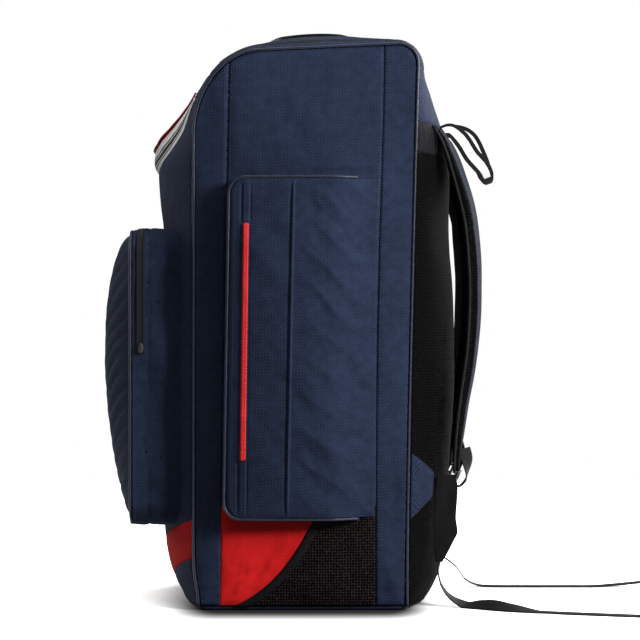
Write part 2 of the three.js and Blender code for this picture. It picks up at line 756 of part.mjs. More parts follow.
for (const { label, sign } of sides) {
  add(`side_pocket_face_${label}`, navy, sheet(12, 6, (i, j, inner) => {
    const offset = 2 * pipe + gap;
    const foot = sidePocketFoot + offset;
    const head = sidePocketFoot + sidePocketHeight - offset;
    const z = mix(foot, head, (1 - Math.cos(Math.PI * i)) / 2);
    const y = mix(pocketEdge(z, offset), rearEdge(z), j);
    return [sign * (pocketStand(y, z) - (inner ? cloth : 0)), y, z];
  }));
  const freeSteps = freeEdge.length - 1;
  add(`side_pocket_gusset_${label}`, navy, sheet(freeSteps, 1, (i, j, inner) => {
    const { at, out } = freeEdge[Math.round(i * freeSteps)];
    const edge = at.clone().addScaledVector(out, inner ? -cloth : 0);
    const low = sideX(edge.x, edge.y) + ease;
    const high = Math.max(pocketStand(at.x, at.y) - pipe - cloth / 2 - gap, low + 1);
    return [sign * mix(low, high, j), edge.x, edge.y];
  }));
  const frames = freeEdge.map(({ at, out }) => {
    const middle = at.clone().addScaledVector(out, -pipe);
    const stand = pocketStand(at.x, at.y) - cloth / 2;
    return {
      at: new THREE.Vector3(sign * stand, middle.x, middle.y),
      out: new THREE.Vector3(0, out.x, out.y),
      rise: new THREE.Vector3(1, 0, 0),
    };
  });
  add(`side_pocket_piping_${label}`, navy, cord(frames, 5, pipe, false));
  add(`side_pocket_zip_${label}`, red, sheet(14, 1, (i, j, inner) => {
    const z = redZipFoot + redZipLength * i;
    const edge = mix(sidePocketFrontFoot, sidePocketFrontTop, (z - sidePocketFoot) / sidePocketHeight);
    const y = edge + redZipIn + j * redZipWidth;
    return [sign * (pocketStand(y, z) + ease + (inner ? 0 : zipThickness)), y, z];
  }));
}

// Ribbons of webbing: a flat section carried along a path, its width along the across axis.
function ribbon(name, finish, steps, width, thickness, frame) {
  add(name, finish, sweep(steps, 4, (t, k) => {
    const { at, across, out } = frame(t);
    const wide = (k === 0 || k === 3 ? -0.5 : 0.5) * width(t);
    const deep = (k < 2 ? -0.5 : 0.5) * thickness;
    return at.clone().addScaledVector(across, wide).addScaledVector(out, deep).toArray();
  }));
}

// The across axis kept square to the path, then the axis through the ribbon's thickness.
function framed(at, along, wide) {
  const direction = along.clone().normalize();
  const across = wide.clone().addScaledVector(direction, -wide.dot(direction)).normalize();
  return { at, across, out: direction.clone().cross(across) };
}

// Haul loop: a webbing hairpin at the top of the back that falls to its tip.
const haulRoot = skin(backAt(bodyHeight - haulRootDrop), haulSpan / 2, ease);
const haulTable = [
  { where: 0, out: 0, down: 0 },
  { where: 0.2, out: 0.26, down: -0.05 },
  { where: 0.4, out: 0.53, down: 0.12 },
  { where: 0.6, out: 0.72, down: 0.43 },
  { where: 0.8, out: 0.88, down: 0.7 },
  { where: 1, out: 1, down: 1 },
];
const haulPoint = (where) => {
  const out = haulReach * read(haulTable, 'where', 'out', where);
  const down = haulDrop * read(haulTable, 'where', 'down', where);
  return new THREE.Vector2(haulRoot[1] + out, haulRoot[2] - down);
};
const haulAt = (t) => {
  const side = 2 * t - 1;
  const where = 1 - Math.abs(side) ** 1.7;
  const { x: y, y: z } = haulPoint(where);
  const turn = Math.sin(side * Math.PI / 2);
  const sag = haulSkew * turn * Math.sin(Math.PI * where) ** 2;
  return new THREE.Vector3((haulSpan / 2) * turn, y - sag, z - sag);
};
const haulSpread = (t) => haulWidth * (0.6 + 0.4 * smooth(5 * Math.min(t, 1 - t)));
ribbon('haul_loop', grey, 20, haulSpread, webbing, (t) => {
  const where = 1 - Math.abs(2 * t - 1) ** 1.7;
  const before = haulPoint(Math.max(where - 0.03, 0));
  const after = haulPoint(Math.min(where + 0.03, 1));
  const wide = new THREE.Vector3(0, before.y - after.y, after.x - before.x);
  const along = haulAt(Math.min(t + 0.01, 1)).sub(haulAt(Math.max(t - 0.01, 0)));
  return framed(haulAt(t), along, wide);
});

// Shoulder strap: shares of its height down from its root, of how far it stands off
// the back's plane, of its width and of its thickness.
const strapTop = bodyHeight - strapDrop;
const strapLength = strapTop - strapFoot;
const strapStand = 100;
const strapLean = 0.28;
const strapRoot = { wide: 0.7, deep: 0.16 };
const strapSeat = skin(backAt(strapTop), strapSpacing / 2, 0)[1] - backReach + ease
  + strapRoot.deep * strapThickness + (strapLean * strapRoot.wide * strapWidth) / 2;
const strapTable = [
  { where: 0, out: strapSeat / strapStand, ...strapRoot },
  { where: 0.04, out: 0.56, wide: 0.85, deep: 0.3 },
  { where: 0.08, out: 0.68, wide: 1, deep: 0.5 },
  { where: 0.14, out: 0.8, wide: 1, deep: 0.8 },
  { where: 0.21, out: 0.91, wide: 1, deep: 1 },
  { where: 0.28, out: 0.98, wide: 1, deep: 1 },
  { where: 0.38, out: 1.02, wide: 1, deep: 1 },
  { where: 0.47, out: 1.03, wide: 1, deep: 1 },
  { where: 0.56, out: 1.01, wide: 1, deep: 1 },
  { where: 0.65, out: 0.97, wide: 1, deep: 1 },
  { where: 0.73, out: 0.9, wide: 1, deep: 0.95 },
  { where: 0.81, out: 0.82, wide: 0.95, deep: 0.85 },
  { where: 0.88, out: 0.75, wide: 0.85, deep: 0.7 },
  { where: 0.95, out: 0.68, wide: 0.65, deep: 0.5 },
  { where: 1, out: 0.64, wide: 0.48, deep: 0.3 },
];
// The rounded section, as shares of half the width and half the thickness.
const strapSection = [
  { wide: 1, deep: -0.45 },
  { wide: 1, deep: 0.45 },
  { wide: 0.82, deep: 1 },
  { wide: -0.82, deep: 1 },
  { wide: -1, deep: 0.45 },
  { wide: -1, deep: -0.45 },
  { wide: -0.82, deep: -1 },
  { wide: 0.82, deep: -1 },
];

function strapFrame(t, sign) {
  const out = (where) => backReach + strapStand * read(strapTable, 'where', 'out', clamp(where, 0, 1));
  const down = strapTop - strapLength * t;
  const along = new THREE.Vector3(0, out(t + 0.01) - out(t - 0.01), -0.02 * strapLength).normalize();
  const lean = strapLean * (1 - 0.5 * t);
  const across = new THREE.Vector3(sign, -lean, 0).normalize();
  const width = strapWidth * read(strapTable, 'where', 'wide', t);
  const depth = strapThickness * read(strapTable, 'where', 'deep', t);
  const face = new THREE.Vector3(0, -along.z, along.y);
  const at = new THREE.Vector3(sign * strapSpacing / 2, out(t) - lean * width / 2, down);
  at.addScaledVector(face, -depth / 2);
  return { at, across, face, width, depth };
}

for (const { label, sign } of sides) {
  add(`shoulder_strap_${label}`, navy, sweep(20, 8, (t, k) => {
    const { at, across, face, width, depth } = strapFrame(t, sign);
    const point = at.clone().addScaledVector(across, strapSection[k].wide * width / 2);
    return point.addScaledVector(face, strapSection[k].deep * depth / 2).toArray();
  }));
}

// Ladder lock under each strap: a frame with two slots, leaning back from the strap's end.
const lockDrop = new THREE.Vector3(0, -0.42, -0.91);
const lockOut = new THREE.Vector3(0, 0.91, -0.42);

function lockPlace(sign) {
  const { at, across, depth } = strapFrame(1, sign);
  const wide = across.multiplyScalar(sign);
  const middle = at.clone();
  middle.addScaledVector(lockOut, depth / 2 + lockThickness / 2 + gap);
  middle.addScaledVector(lockDrop, lockLength / 2 - lockBar);
  const out = wide.clone().cross(lockDrop).normalize();
  return { middle, wide, out, drop: out.clone().cross(wide).normalize() };
}

const lockShape = new THREE.Shape();
const lockHalf = lockWidth / 2;
const lockEnd = lockLength / 2;
lockShape.moveTo(-lockHalf, -lockEnd);
lockShape.lineTo(lockHalf, -lockEnd);
lockShape.lineTo(lockHalf, lockEnd);
lockShape.lineTo(-lockHalf, lockEnd);
const slotLength = (lockLength - 3 * lockBar) / 2;
for (const middle of [-1, 1]) {
  const slot = new THREE.Path();
  const centre = middle * (lockBar / 2 + slotLength / 2);
  slot.moveTo(-lockHalf + lockBar, centre - slotLength / 2);
  slot.lineTo(-lockHalf + lockBar, centre + slotLength / 2);
  slot.lineTo(lockHalf - lockBar, centre + slotLength / 2);
  slot.lineTo(lockHalf - lockBar, centre - slotLength / 2);
  lockShape.holes.push(slot);
}

// The webbing behind the lower slot, and its free end that stands up in front of it.
const webbingLoop = [
  { out: -9, down: 0 },
  { out: 0, down: 0 },
  { out: 8, down: 0 },
  { out: 13, down: -12 },
  { out: 4, down: -38 },
  { out: -8, down: -54 },
];
const webbingSewn = 7; // how much of it lies on the back

// The anchor is a cloth triangle sewn into the side piping, its tip on the back.
const anchorPoint = (share, up, lift) => {
  const x = panelHalf - gap - share * anchorReach;
  const low = mix(anchorFoot, anchorFoot + (anchorHeight - anchorTipHeight) / 2, share);
  const tall = mix(anchorHeight, anchorTipHeight, share);
  return skin(backAt(low + up * tall), x, lift);
};
const anchorMiddle = anchorFoot + anchorHeight / 2;
const wingX = panelHalf - gap - anchorReach - gap;

// Waist wing: shares of its height, and its back edge's reach from the back's plane.
const wingReach = 75;
const wingTable = [
  { where: 0, front: 0.62, back: 0.95 },
  { where: 0.12, front: 0.6, back: 1.02 },
  { where: 0.3, front: 0.58, back: 1.01 },
  { where: 0.5, front: 0.57, back: 0.99 },
  { where: 0.66, front: 0.56, back: 1.02 },
  { where: 0.75, front: 0.56, back: 0.95 },
  { where: 0.9, front: 0.57, back: 0.82 },
  { where: 1, front: 0.6, back: 0.72 },
];
const wingTop = anchorMiddle + anchorTipHeight / 2 - 4;
const wingBase = backReach - backFootIn;
const wingEdge = (where, side) => wingBase + wingReach * read(wingTable, 'where', side, where);

// Waist belt tails: where they lie on and above the floor, chosen by hand.
const tailRoutes = {
  right: [
    { x: 108, y: 199, z: 62.5, turn: 0.1 },
    { x: 110, y: 198, z: 50, turn: 0.1 },
    { x: 114, y: 203, z: 30, turn: 0.35 },
    { x: 122, y: 215, z: 15, turn: 0.5 },
    { x: 133, y: 234, z: 5, turn: 0.3 },
    { x: 148, y: 257, z: 1.1, turn: 0 },
    { x: 169, y: 290, z: 0.9, turn: 0 },
    { x: 190, y: 345, z: 0.9, turn: 0 },
    { x: 210, y: 410, z: 0.9, turn: 0 },
    { x: 232, y: 490, z: 0.9, turn: 0 },
  ],
  left: [
    { x: -108, y: 199, z: 62, turn: 0 },
    { x: -107, y: 209, z: 54, turn: 0 },
    { x: -104, y: 238, z: 32, turn: 0 },
    { x: -104, y: 252, z: 13, turn: 0 },
    { x: -105, y: 271, z: 3.5, turn: 0 },
    { x: -105, y: 308, z: 1.1, turn: 0 },
    { x: -105, y: 360, z: 0.9, turn: 0 },
    { x: -105, y: 416, z: 0.9, turn: 0 },
    { x: -105, y: 460, z: 1.6, turn: 0 },
    { x: -105, y: 541, z: 9, turn: 0 },
  ],
};

for (const { label, sign } of sides) {
  const lock = new THREE.ExtrudeGeometry(lockShape, { depth: lockThickness, bevelEnabled: false });
  lock.translate(0, 0, -lockThickness / 2);
  const { middle, wide, out, drop } = lockPlace(sign);
  lock.applyMatrix4(new THREE.Matrix4().makeBasis(wide, drop, out));
  lock.translate(middle.x, middle.y, middle.z);
  add(`ladder_lock_${label}`, plastic, lock);

  add(`anchor_wing_${label}`, navy, sheet(5, 3, (i, j, inner) => {
    const [x, y, z] = anchorPoint(i, j, ease + (inner ? 0 : anchorThickness));
    return [sign * x, y, z];
  }));

  const slotAt = middle.clone().addScaledVector(lockDrop, (lockBar + slotLength) / 2);
  const seatX = wingX - wingThickness - slideWidth / 2 - 3 * gap;
  const seat = skin(backAt(anchorMiddle), seatX - slideWidth / 2, 5 * ease + webbing);
  const route = new THREE.CatmullRomCurve3([
    new THREE.Vector3(sign * seatX, seat[1], seat[2] - 12),
    new THREE.Vector3(sign * seatX, seat[1] + 3, seat[2] - 12 + webbingSewn),
    ...webbingLoop.map((row) => (
      slotAt.clone().addScaledVector(lockOut, row.out).addScaledVector(lockDrop, row.down)
    )),
  ]);
  ribbon(`strap_webbing_${label}`, black, 22, () => slideWidth, webbing, (t) => (
    framed(route.getPoint(t), route.getTangent(t), new THREE.Vector3(sign, 0, 0))
  ));

  add(`waist_wing_${label}`, black, sheet(10, 3, (i, j, inner) => {
    const y = mix(wingEdge(i, 'front'), wingEdge(i, 'back'), j);
    const x = wingX - (inner ? wingThickness : 0);
    return [sign * x, y, wingTop - wingHeight * i];
  }));

  const points = tailRoutes[label].map(({ x, y, z }) => new THREE.Vector3(x, y, z));
  const tail = new THREE.CatmullRomCurve3(points);
  const turns = tailRoutes[label].map(({ turn }, k) => ({ where: k / (points.length - 1), turn }));
  ribbon(`waist_tail_${label}`, black, 24, () => slideWidth, webbing, (t) => {
    const along = tail.getTangent(t);
    const frame = framed(tail.getPoint(t), along, new THREE.Vector3(1, 0, 0));
    const angle = read(turns, 'where', 'turn', t);
    frame.across.applyAxisAngle(along, angle);
    frame.out.applyAxisAngle(along, angle);
    const reach = Math.abs(frame.across.z) * slideWidth + Math.abs(frame.out.z) * webbing;
    frame.at.z = Math.max(frame.at.z, reach / 2);
    return frame;
  });
}

export default bag;
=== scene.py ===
import math

import bmesh
import bpy
import numpy as np
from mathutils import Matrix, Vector


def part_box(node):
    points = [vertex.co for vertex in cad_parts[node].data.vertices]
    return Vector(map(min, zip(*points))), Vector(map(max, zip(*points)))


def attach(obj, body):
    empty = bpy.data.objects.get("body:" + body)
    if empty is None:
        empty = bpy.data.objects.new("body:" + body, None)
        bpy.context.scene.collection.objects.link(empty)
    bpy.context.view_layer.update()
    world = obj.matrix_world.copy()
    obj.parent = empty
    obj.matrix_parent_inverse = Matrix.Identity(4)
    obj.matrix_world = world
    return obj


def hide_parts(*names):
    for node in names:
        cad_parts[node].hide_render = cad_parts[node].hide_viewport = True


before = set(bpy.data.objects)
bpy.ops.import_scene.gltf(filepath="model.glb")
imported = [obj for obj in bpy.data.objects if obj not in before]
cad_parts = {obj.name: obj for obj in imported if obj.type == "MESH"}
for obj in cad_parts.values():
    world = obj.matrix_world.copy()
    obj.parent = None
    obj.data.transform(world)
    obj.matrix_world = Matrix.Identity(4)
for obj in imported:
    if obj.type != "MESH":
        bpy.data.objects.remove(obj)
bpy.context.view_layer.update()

# Studio: a camera level with the middle of the bag and square to its right side, soft lights,
# and a white floor with a painted shadow where the bag stands.
camera_data = bpy.data.cameras.new("camera")
camera_data.lens = 118.7
camera_data.sensor_width = 36
camera_data.clip_end = 100
camera = bpy.data.objects.new("camera", camera_data)
camera.location = (3.2, 0.025, 0.418)
camera.rotation_euler = (math.radians(90), 0, math.radians(90))
bpy.context.collection.objects.link(camera)
bpy.context.scene.camera = camera
bpy.context.scene.view_settings.view_transform = "Standard"

world = bpy.data.worlds.new("studio")
world.use_nodes = True
backdrop = world.node_tree.nodes["Background"]
backdrop.inputs["Color"].default_value = (1, 1, 1, 1)
seen = world.node_tree.nodes.new("ShaderNodeLightPath")
fill = world.node_tree.nodes.new("ShaderNodeMapRange")
fill.inputs["To Min"].default_value = 0.17
fill.inputs["To Max"].default_value = 1.0
world.node_tree.links.new(seen.outputs["Is Camera Ray"], fill.inputs["Value"])
world.node_tree.links.new(fill.outputs[0], backdrop.inputs["Strength"])
bpy.context.scene.world = world


def studio_light(name, place, aim, size, watts):
    light = bpy.data.lights.new(name, "AREA")
    light.shape = "RECTANGLE"
    light.size = size[0]
    light.size_y = size[1]
    light.energy = watts
    lamp = bpy.data.objects.new(name, light)
    lamp.location = place
    direction = Vector(aim) - Vector(place)
    lamp.rotation_euler = direction.to_track_quat("-Z", "Y").to_euler()
    bpy.context.collection.objects.link(lamp)


studio_light("key", (1.6, 2.1, 1.4), (0.1, 0, 0.4), (0.7, 0.7), 178)
studio_light("top", (0.3, 0.2, 3.4), (0, 0, 0), (3.5, 3.5), 150)
studio_light("back_left", (-2.4, 2.2, 1.6), (0, 0, 0.4), (1.6, 1.6), 110)
studio_light("front_left", (-1.6, -2.8, 1.2), (0, 0, 0.4), (1.6, 1.6), 40)


def read_all(items, key, width, kind=float):
    values = np.empty(len(items) * width, dtype=kind)
    items.foreach_get(key, values)
    return values.reshape(-1, width)


def mesh_piece(name, points, faces, uv=None, smooth=True):
    mesh = bpy.data.meshes.new(name)
    mesh.from_pydata([tuple(p) for p in points], [], [tuple(f) for f in faces])
    if uv is not None:
        layer = mesh.uv_layers.new(name="cloth")
        corner = read_all(mesh.loops, "vertex_index", 1, np.int32)[:, 0]
        layer.data.foreach_set("uv", np.asarray(uv, dtype=np.float32)[corner].ravel())
    mesh.polygons.foreach_set("use_smooth", [smooth] * len(mesh.polygons))
    mesh.update()
    piece = bpy.data.objects.new(name, mesh)
    bpy.context.collection.objects.link(piece)
    return piece


def node(tree, kind, x, y, values=(), **settings):
    made = tree.nodes.new(kind)
    made.location = (x, y)
    for key, value in settings.items():
        setattr(made, key, value)
    for key, value in dict(values).items():
        made.inputs[key].default_value = value
    return made


def new_finish(name, roughness, gloss):
    finish = bpy.data.materials.new(name)
    finish.use_nodes = True
    shader = finish.node_tree.nodes["Principled BSDF"]
    shader.inputs["Roughness"].default_value = roughness
    shader.inputs["Specular IOR Level"].default_value = gloss
    return finish, finish.node_tree, shader


floor = mesh_piece("floor", [(-2.2, -2.6, 0), (2.8, -2.6, 0), (2.8, 2.6, 0), (-2.2, 2.6, 0)], [(0, 1, 2, 3)])
floor_finish, floor_tree, floor_shader = new_finish("floor_paper_painted_shadow", 0.9, 0.0)
floor_shader.inputs["Emission Color"].default_value = (1, 1, 1, 1)
# Painted shadow: the nodes below take the distance from the bag's footprint. Near it the floor's glow fades
# out and its colour turns dark.
floor_place = node(floor_tree, "ShaderNodeTexCoord", -1500, 0)
floor_fold = node(floor_tree, "ShaderNodeVectorMath", -1300, 0, operation="ABSOLUTE")
floor_past = node(floor_tree, "ShaderNodeVectorMath", -1100, 0, {1: (0.15, 0.12, 0)}, operation="SUBTRACT")
floor_out = node(floor_tree, "ShaderNodeVectorMath", -900, 0, operation="MAXIMUM")
floor_round = node(floor_tree, "ShaderNodeVectorMath", -700, 0, {1: (1, 1.7, 0)}, operation="MULTIPLY")
floor_far = node(floor_tree, "ShaderNodeVectorMath", -500, 0, operation="LENGTH")
floor_glow_painted_shadow = node(floor_tree, "ShaderNodeMapRange", -300, -200,
                  {"From Min": 0.04, "From Max": 0.22, "To Max": 0.62},
                  interpolation_type="SMOOTHSTEP")
floor_painted_shadow = node(floor_tree, "ShaderNodeMapRange", -300, 100,
                  {"From Min": 0.03, "From Max": 0.19, "To Min": 0.02, "To Max": 0.93},
                  interpolation_type="SMOOTHSTEP")
for start, end in (
    (floor_place.outputs["Object"], floor_fold.inputs[0]),
    (floor_fold.outputs[0], floor_past.inputs[0]),
    (floor_past.outputs[0], floor_out.inputs[0]),
    (floor_out.outputs[0], floor_round.inputs[0]),
    (floor_round.outputs[0], floor_far.inputs[0]),
    (floor_far.outputs["Value"], floor_glow_painted_shadow.inputs["Value"]),
    (floor_far.outputs["Value"], floor_painted_shadow.inputs["Value"]),
    (floor_glow_painted_shadow.outputs[0], floor_shader.inputs["Emission Strength"]),
    (floor_painted_shadow.outputs[0], floor_shader.inputs["Base Color"]),
):
    floor_tree.links.new(start, end)
floor.data.materials.append(floor_finish)
floor.visible_diffuse = False

# Cloth finishes: polyester woven of two sets of threads, with a bump for the weave and
# slubs that catch the light. Each finish is one material with its own colour and pitch.


def maths(tree, operation, x, y, *values):
    made = node(tree, "ShaderNodeMath", x, y, operation=operation)
    for socket, value in zip(made.inputs, values):
        if isinstance(value, (int, float)):
            socket.default_value = value
        else:
            tree.links.new(value, socket)
    return made.outputs[0]


def group_sockets(group, inputs, outputs):
    for name, kind, value in inputs:
        socket = group.interface.new_socket(name, in_out="INPUT", socket_type=kind)
        if value is not None:
            socket.default_value = value
    for name, kind in outputs:
        group.interface.new_socket(name, in_out="OUTPUT", socket_type=kind)
    return node(group, "NodeGroupInput", -900, 0), node(group, "NodeGroupOutput", 900, 0)


weave = bpy.data.node_groups.new("plain_weave", "ShaderNodeTree")
weave_in, weave_out = group_sockets(
    weave,
    [("Place", "NodeSocketVector", None), ("Pitch", "NodeSocketFloat", 0.001)],
    [("Height", "NodeSocketFloat"), ("Thread", "NodeSocketFloat")],
)
split = node(weave, "ShaderNodeSeparateXYZ", -700, 0)
weave.links.new(weave_in.outputs["Place"], split.inputs[0])
across = maths(weave, "DIVIDE", -500, 150, split.outputs[0], weave_in.outputs["Pitch"])
along = maths(weave, "DIVIDE", -500, -150, split.outputs[1], weave_in.outputs["Pitch"])
warp = maths(weave, "SINE", -300, 150, maths(weave, "MULTIPLY", -400, 150, across, 2 * math.pi))
weft = maths(weave, "SINE", -300, -150, maths(weave, "MULTIPLY", -400, -150, along, 2 * math.pi))
cross = maths(weave, "MULTIPLY", -100, 0, warp, weft)
ribs = maths(weave, "MULTIPLY", 100, -200, maths(weave, "ADD", 0, -200, warp, weft), 0.25)
weave.links.new(maths(weave, "ADD", 300, 0, cross, ribs), weave_out.inputs["Height"])
half_cross = maths(weave, "MULTIPLY", 300, -300, cross, 0.5)
weave.links.new(maths(weave, "ADD", 500, -300, half_cross, 0.5), weave_out.inputs["Thread"])


def paint_ramp(tree, x, dark, light, low=0.0, high=1.0):
    ramp = node(tree, "ShaderNodeValToRGB", x, 0)
    for element, colour, place in zip(ramp.color_ramp.elements, (dark, light), (low, high)):
        element.color = (*colour, 1)
        element.position = place
    return ramp


def cloth_finish(name, dark, light, pitch, bump=0.45, roughness=0.85, slub=0.35, sheen=0.02, gloss=0.06):
    finish, tree, shader = new_finish(name, roughness, gloss)
    place = node(tree, "ShaderNodeUVMap", -1300, 0, uv_map="cloth")
    threads = node(tree, "ShaderNodeGroup", -1000, 0, node_tree=weave)
    threads.inputs["Pitch"].default_value = pitch
    slubs = node(tree, "ShaderNodeTexNoise", -1000, -300, {"Scale": 1 / (3 * pitch), "Detail": 3})
    blotch = node(tree, "ShaderNodeTexNoise", -1000, -600, {"Scale": 9, "Detail": 2})
    for socket in (threads.inputs["Place"], slubs.inputs["Vector"], blotch.inputs["Vector"]):
        tree.links.new(place.outputs[0], socket)
    tone = maths(tree, "MULTIPLY", -800, -300, slubs.outputs[0], slub)
    tone = maths(tree, "MULTIPLY_ADD", -650, -200, threads.outputs["Thread"], 0.75 - slub, tone)
    tone = maths(tree, "MULTIPLY_ADD", -500, -200, blotch.outputs[0], 0.3, tone)
    ramp = paint_ramp(tree, -350, dark, light, 0.2, 0.85)
    tree.links.new(tone, ramp.inputs[0])
    tree.links.new(ramp.outputs[0], shader.inputs["Base Color"])
    relief = node(tree, "ShaderNodeBump", -350, -400, {"Strength": bump, "Distance": 0.0006})
    height = maths(tree, "MULTIPLY_ADD", -500, -450, slubs.outputs[0], 0.8, threads.outputs["Height"])
    tree.links.new(height, relief.inputs["Height"])
    tree.links.new(relief.outputs[0], shader.inputs["Normal"])
    shader.inputs["Sheen Weight"].default_value = sheen
    shader.inputs["Sheen Roughness"].default_value = 0.5
    shader.inputs["Sheen Tint"].default_value = (*light, 1)
    return finish


navy_cloth = cloth_finish("navy_polyester", (0.0018, 0.003, 0.008), (0.0172, 0.0255, 0.053), 0.0044)
red_cloth = cloth_finish("red_polyester", (0.33, 0.005, 0.006), (0.50, 0.011, 0.011), 0.0044, bump=0.2)

# Stitches and zip coils: a Geometry Nodes tree sets a small rod at even steps along a path, in
# the direction that the path carries, and each row then becomes a plain mesh.
rods = bpy.data.node_groups.new("rods_along_path", "GeometryNodeTree")
rods.interface.new_socket("Path", in_out="INPUT", socket_type="NodeSocketGeometry")
for socket_name, socket_value in (("Spacing", 0.004), ("Length", 0.003), ("Radius", 0.0003)):
    rod_socket = rods.interface.new_socket(socket_name, in_out="INPUT", socket_type="NodeSocketFloat")
    rod_socket.default_value = socket_value
rods.interface.new_socket("Finish", in_out="INPUT", socket_type="NodeSocketMaterial")
rods.interface.new_socket("Rods", in_out="OUTPUT", socket_type="NodeSocketGeometry")
rods_in = node(rods, "NodeGroupInput", -900, 0)
rods_out = node(rods, "NodeGroupOutput", 700, 0)
rod_curve = node(rods, "GeometryNodeMeshToCurve", -700, 100)
rod_steps = node(rods, "GeometryNodeResampleCurve", -500, 100, mode="LENGTH")
rod_shape = node(rods, "GeometryNodeMeshCylinder", -500, -200, {"Vertices": 4})
rod_aim = node(rods, "GeometryNodeInputNamedAttribute", -700, -400, {"Name": "rod"}, data_type="FLOAT_VECTOR")
rod_turn = node(rods, "FunctionNodeAlignRotationToVector", -300, -400, axis="Z")
rod_place = node(rods, "GeometryNodeInstanceOnPoints", -100, 100)
rod_real = node(rods, "GeometryNodeRealizeInstances", 100, 100)
rod_dress = node(rods, "GeometryNodeSetMaterial", 400, 100)
for start, end in (
    (rods_in.outputs["Path"], rod_curve.inputs[0]),
    (rod_curve.outputs[0], rod_steps.inputs["Curve"]),
    (rods_in.outputs["Spacing"], rod_steps.inputs["Length"]),
    (rods_in.outputs["Radius"], rod_shape.inputs["Radius"]),
    (rods_in.outputs["Length"], rod_shape.inputs["Depth"]),
    (rod_aim.outputs[0], rod_turn.inputs["Vector"]),
    (rod_steps.outputs[0], rod_place.inputs["Points"]),
    (rod_shape.outputs["Mesh"], rod_place.inputs["Instance"]),
    (rod_turn.outputs[0], rod_place.inputs["Rotation"]),
    (rod_place.outputs[0], rod_real.inputs[0]),
    (rod_real.outputs[0], rod_dress.inputs["Geometry"]),
    (rods_in.outputs["Finish"], rod_dress.inputs["Material"]),
    (rod_dress.outputs[0], rods_out.inputs["Rods"]),
):
    rods.links.new(start, end)
rod_sockets = {item.name: item.identifier for item in rods.interface.items_tree}


def thread_finish(name, dark, light, roughness):
    finish, tree, shader = new_finish(name, roughness, 0.15)
    place = node(tree, "ShaderNodeTexCoord", -900, 0)
    strands = node(tree, "ShaderNodeTexNoise", -700, 0, {"Scale": 700})
    tree.links.new(place.outputs["Object"], strands.inputs["Vector"])
    ramp = paint_ramp(tree, -400, dark, light)
    tree.links.new(strands.outputs[0], ramp.inputs[0])
    tree.links.new(ramp.outputs[0], shader.inputs["Base Color"])
    return finish


navy_thread = thread_finish("navy_thread", (0.003, 0.005, 0.012), (0.02, 0.03, 0.06), 0.6)
black_thread = thread_finish("black_thread", (0.0015, 0.0015, 0.0018), (0.012, 0.012, 0.013), 0.6)
red_coil = thread_finish("red_coil", (0.36, 0.012, 0.015), (0.7, 0.035, 0.04), 0.5)


def rod_row(name, path, direction, spacing, length, radius, finish):
    mesh = bpy.data.meshes.new(name)
    mesh.from_pydata([tuple(p) for p in path], [(k, k + 1) for k in range(len(path) - 1)], [])
    aim = mesh.attributes.new("rod", "FLOAT_VECTOR", "POINT")
    aim.data.foreach_set("vector", np.asarray(direction, dtype=np.float32).ravel())
    piece = bpy.data.objects.new(name, mesh)
    bpy.context.collection.objects.link(piece)
    maker = piece.modifiers.new("rods", "NODES")
    maker.node_group = rods
    for label, value in (("Spacing", spacing), ("Length", length), ("Radius", radius), ("Finish", finish)):
        maker[rod_sockets[label]] = value
    made = bpy.data.meshes.new_from_object(piece.evaluated_get(bpy.context.evaluated_depsgraph_get()))
    piece.modifiers.remove(maker)
    piece.data = made
    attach(piece, "root")
    return piece


def stitches(name, path, out, finish, spacing=0.0042):
    path = np.asarray(path) + np.asarray(out) * 0.0001
    return rod_row(name, path, np.gradient(path, axis=0), spacing, 0.7 * spacing, 0.00032, finish)


def xyz(x, y, z):
    return np.stack(np.broadcast_arrays(x, y, z), axis=-1)


def unit(vectors):
    return vectors / np.linalg.norm(vectors, axis=-1, keepdims=True)


def run_along(path):
    return np.concatenate([[0], np.cumsum(np.linalg.norm(np.diff(path, axis=0), axis=1))])


def steps(rows, columns):
    return np.linspace(0, 1, rows)[:, None], np.linspace(0, 1, columns)[None, :]


def grid_normals(points):
    normal = np.cross(np.gradient(points, axis=0), np.gradient(points, axis=1))
    return normal / np.maximum(np.linalg.norm(normal, axis=2, keepdims=True), 1e-12)


# The main shell between the two side pipings: seven padded polyester panels that run from
# the front foot over the top to the back foot, sewn to one another across the bag.
body_width = 0.330
body_height = 0.816
front_reach = 0.157
back_reach = 0.166
front_foot_in = 0.007
back_foot_in = 0.016
dome_depth = 0.097
dome_rise = 0.125
dome_foot = 0.682
back_corner = 0.028
fullness = 0.070
cloth = 0.0025
gap = 0.0003
ease = 0.0006
body_foot = 8 * math.sin(math.pi / 3) / 1000 + gap
half_width = body_width / 2


def bezier(a, b, c, d, count):
    t = np.linspace(0, 1, count)[:, None]
    a, b, c, d = (np.array(p, dtype=float) for p in (a, b, c, d))
    return (1 - t) ** 3 * a + 3 * (1 - t) ** 2 * t * b + 3 * (1 - t) * t ** 2 * c + t ** 3 * d


foot_y = -front_reach + front_foot_in
foot_rise = 12 * front_foot_in
angle = np.linspace(math.pi, math.pi / 2, 240)
corner_angle = np.linspace(math.pi / 2, 0, 60)
outline = np.vstack([
    bezier(
        (foot_y, body_foot),
        (foot_y, body_foot + foot_rise / 3),
        (-front_reach, body_foot + foot_rise / 3),
        (-front_reach, body_foot + foot_rise),
        120,
    ),
    np.column_stack([
        -front_reach + dome_depth + dome_depth * np.cos(angle),
        dome_foot + dome_rise * np.sin(angle),
    ]),
    np.column_stack([
        back_reach - back_corner + back_corner * np.cos(corner_angle),
        body_height - back_corner + back_corner * np.sin(corner_angle),
    ]),
    bezier(
        (back_reach, body_height - back_corner),
        (back_reach - 0.37 * back_foot_in, 0.69 * body_height),
        (back_reach - back_foot_in, 0.25 * body_height),
        (back_reach - back_foot_in, body_foot),
        400,
    )[1:],
])
step = np.hypot(*np.diff(outline, axis=0).T)
outline_s = np.concatenate([[0], np.cumsum(step)])
outline_length = outline_s[-1]


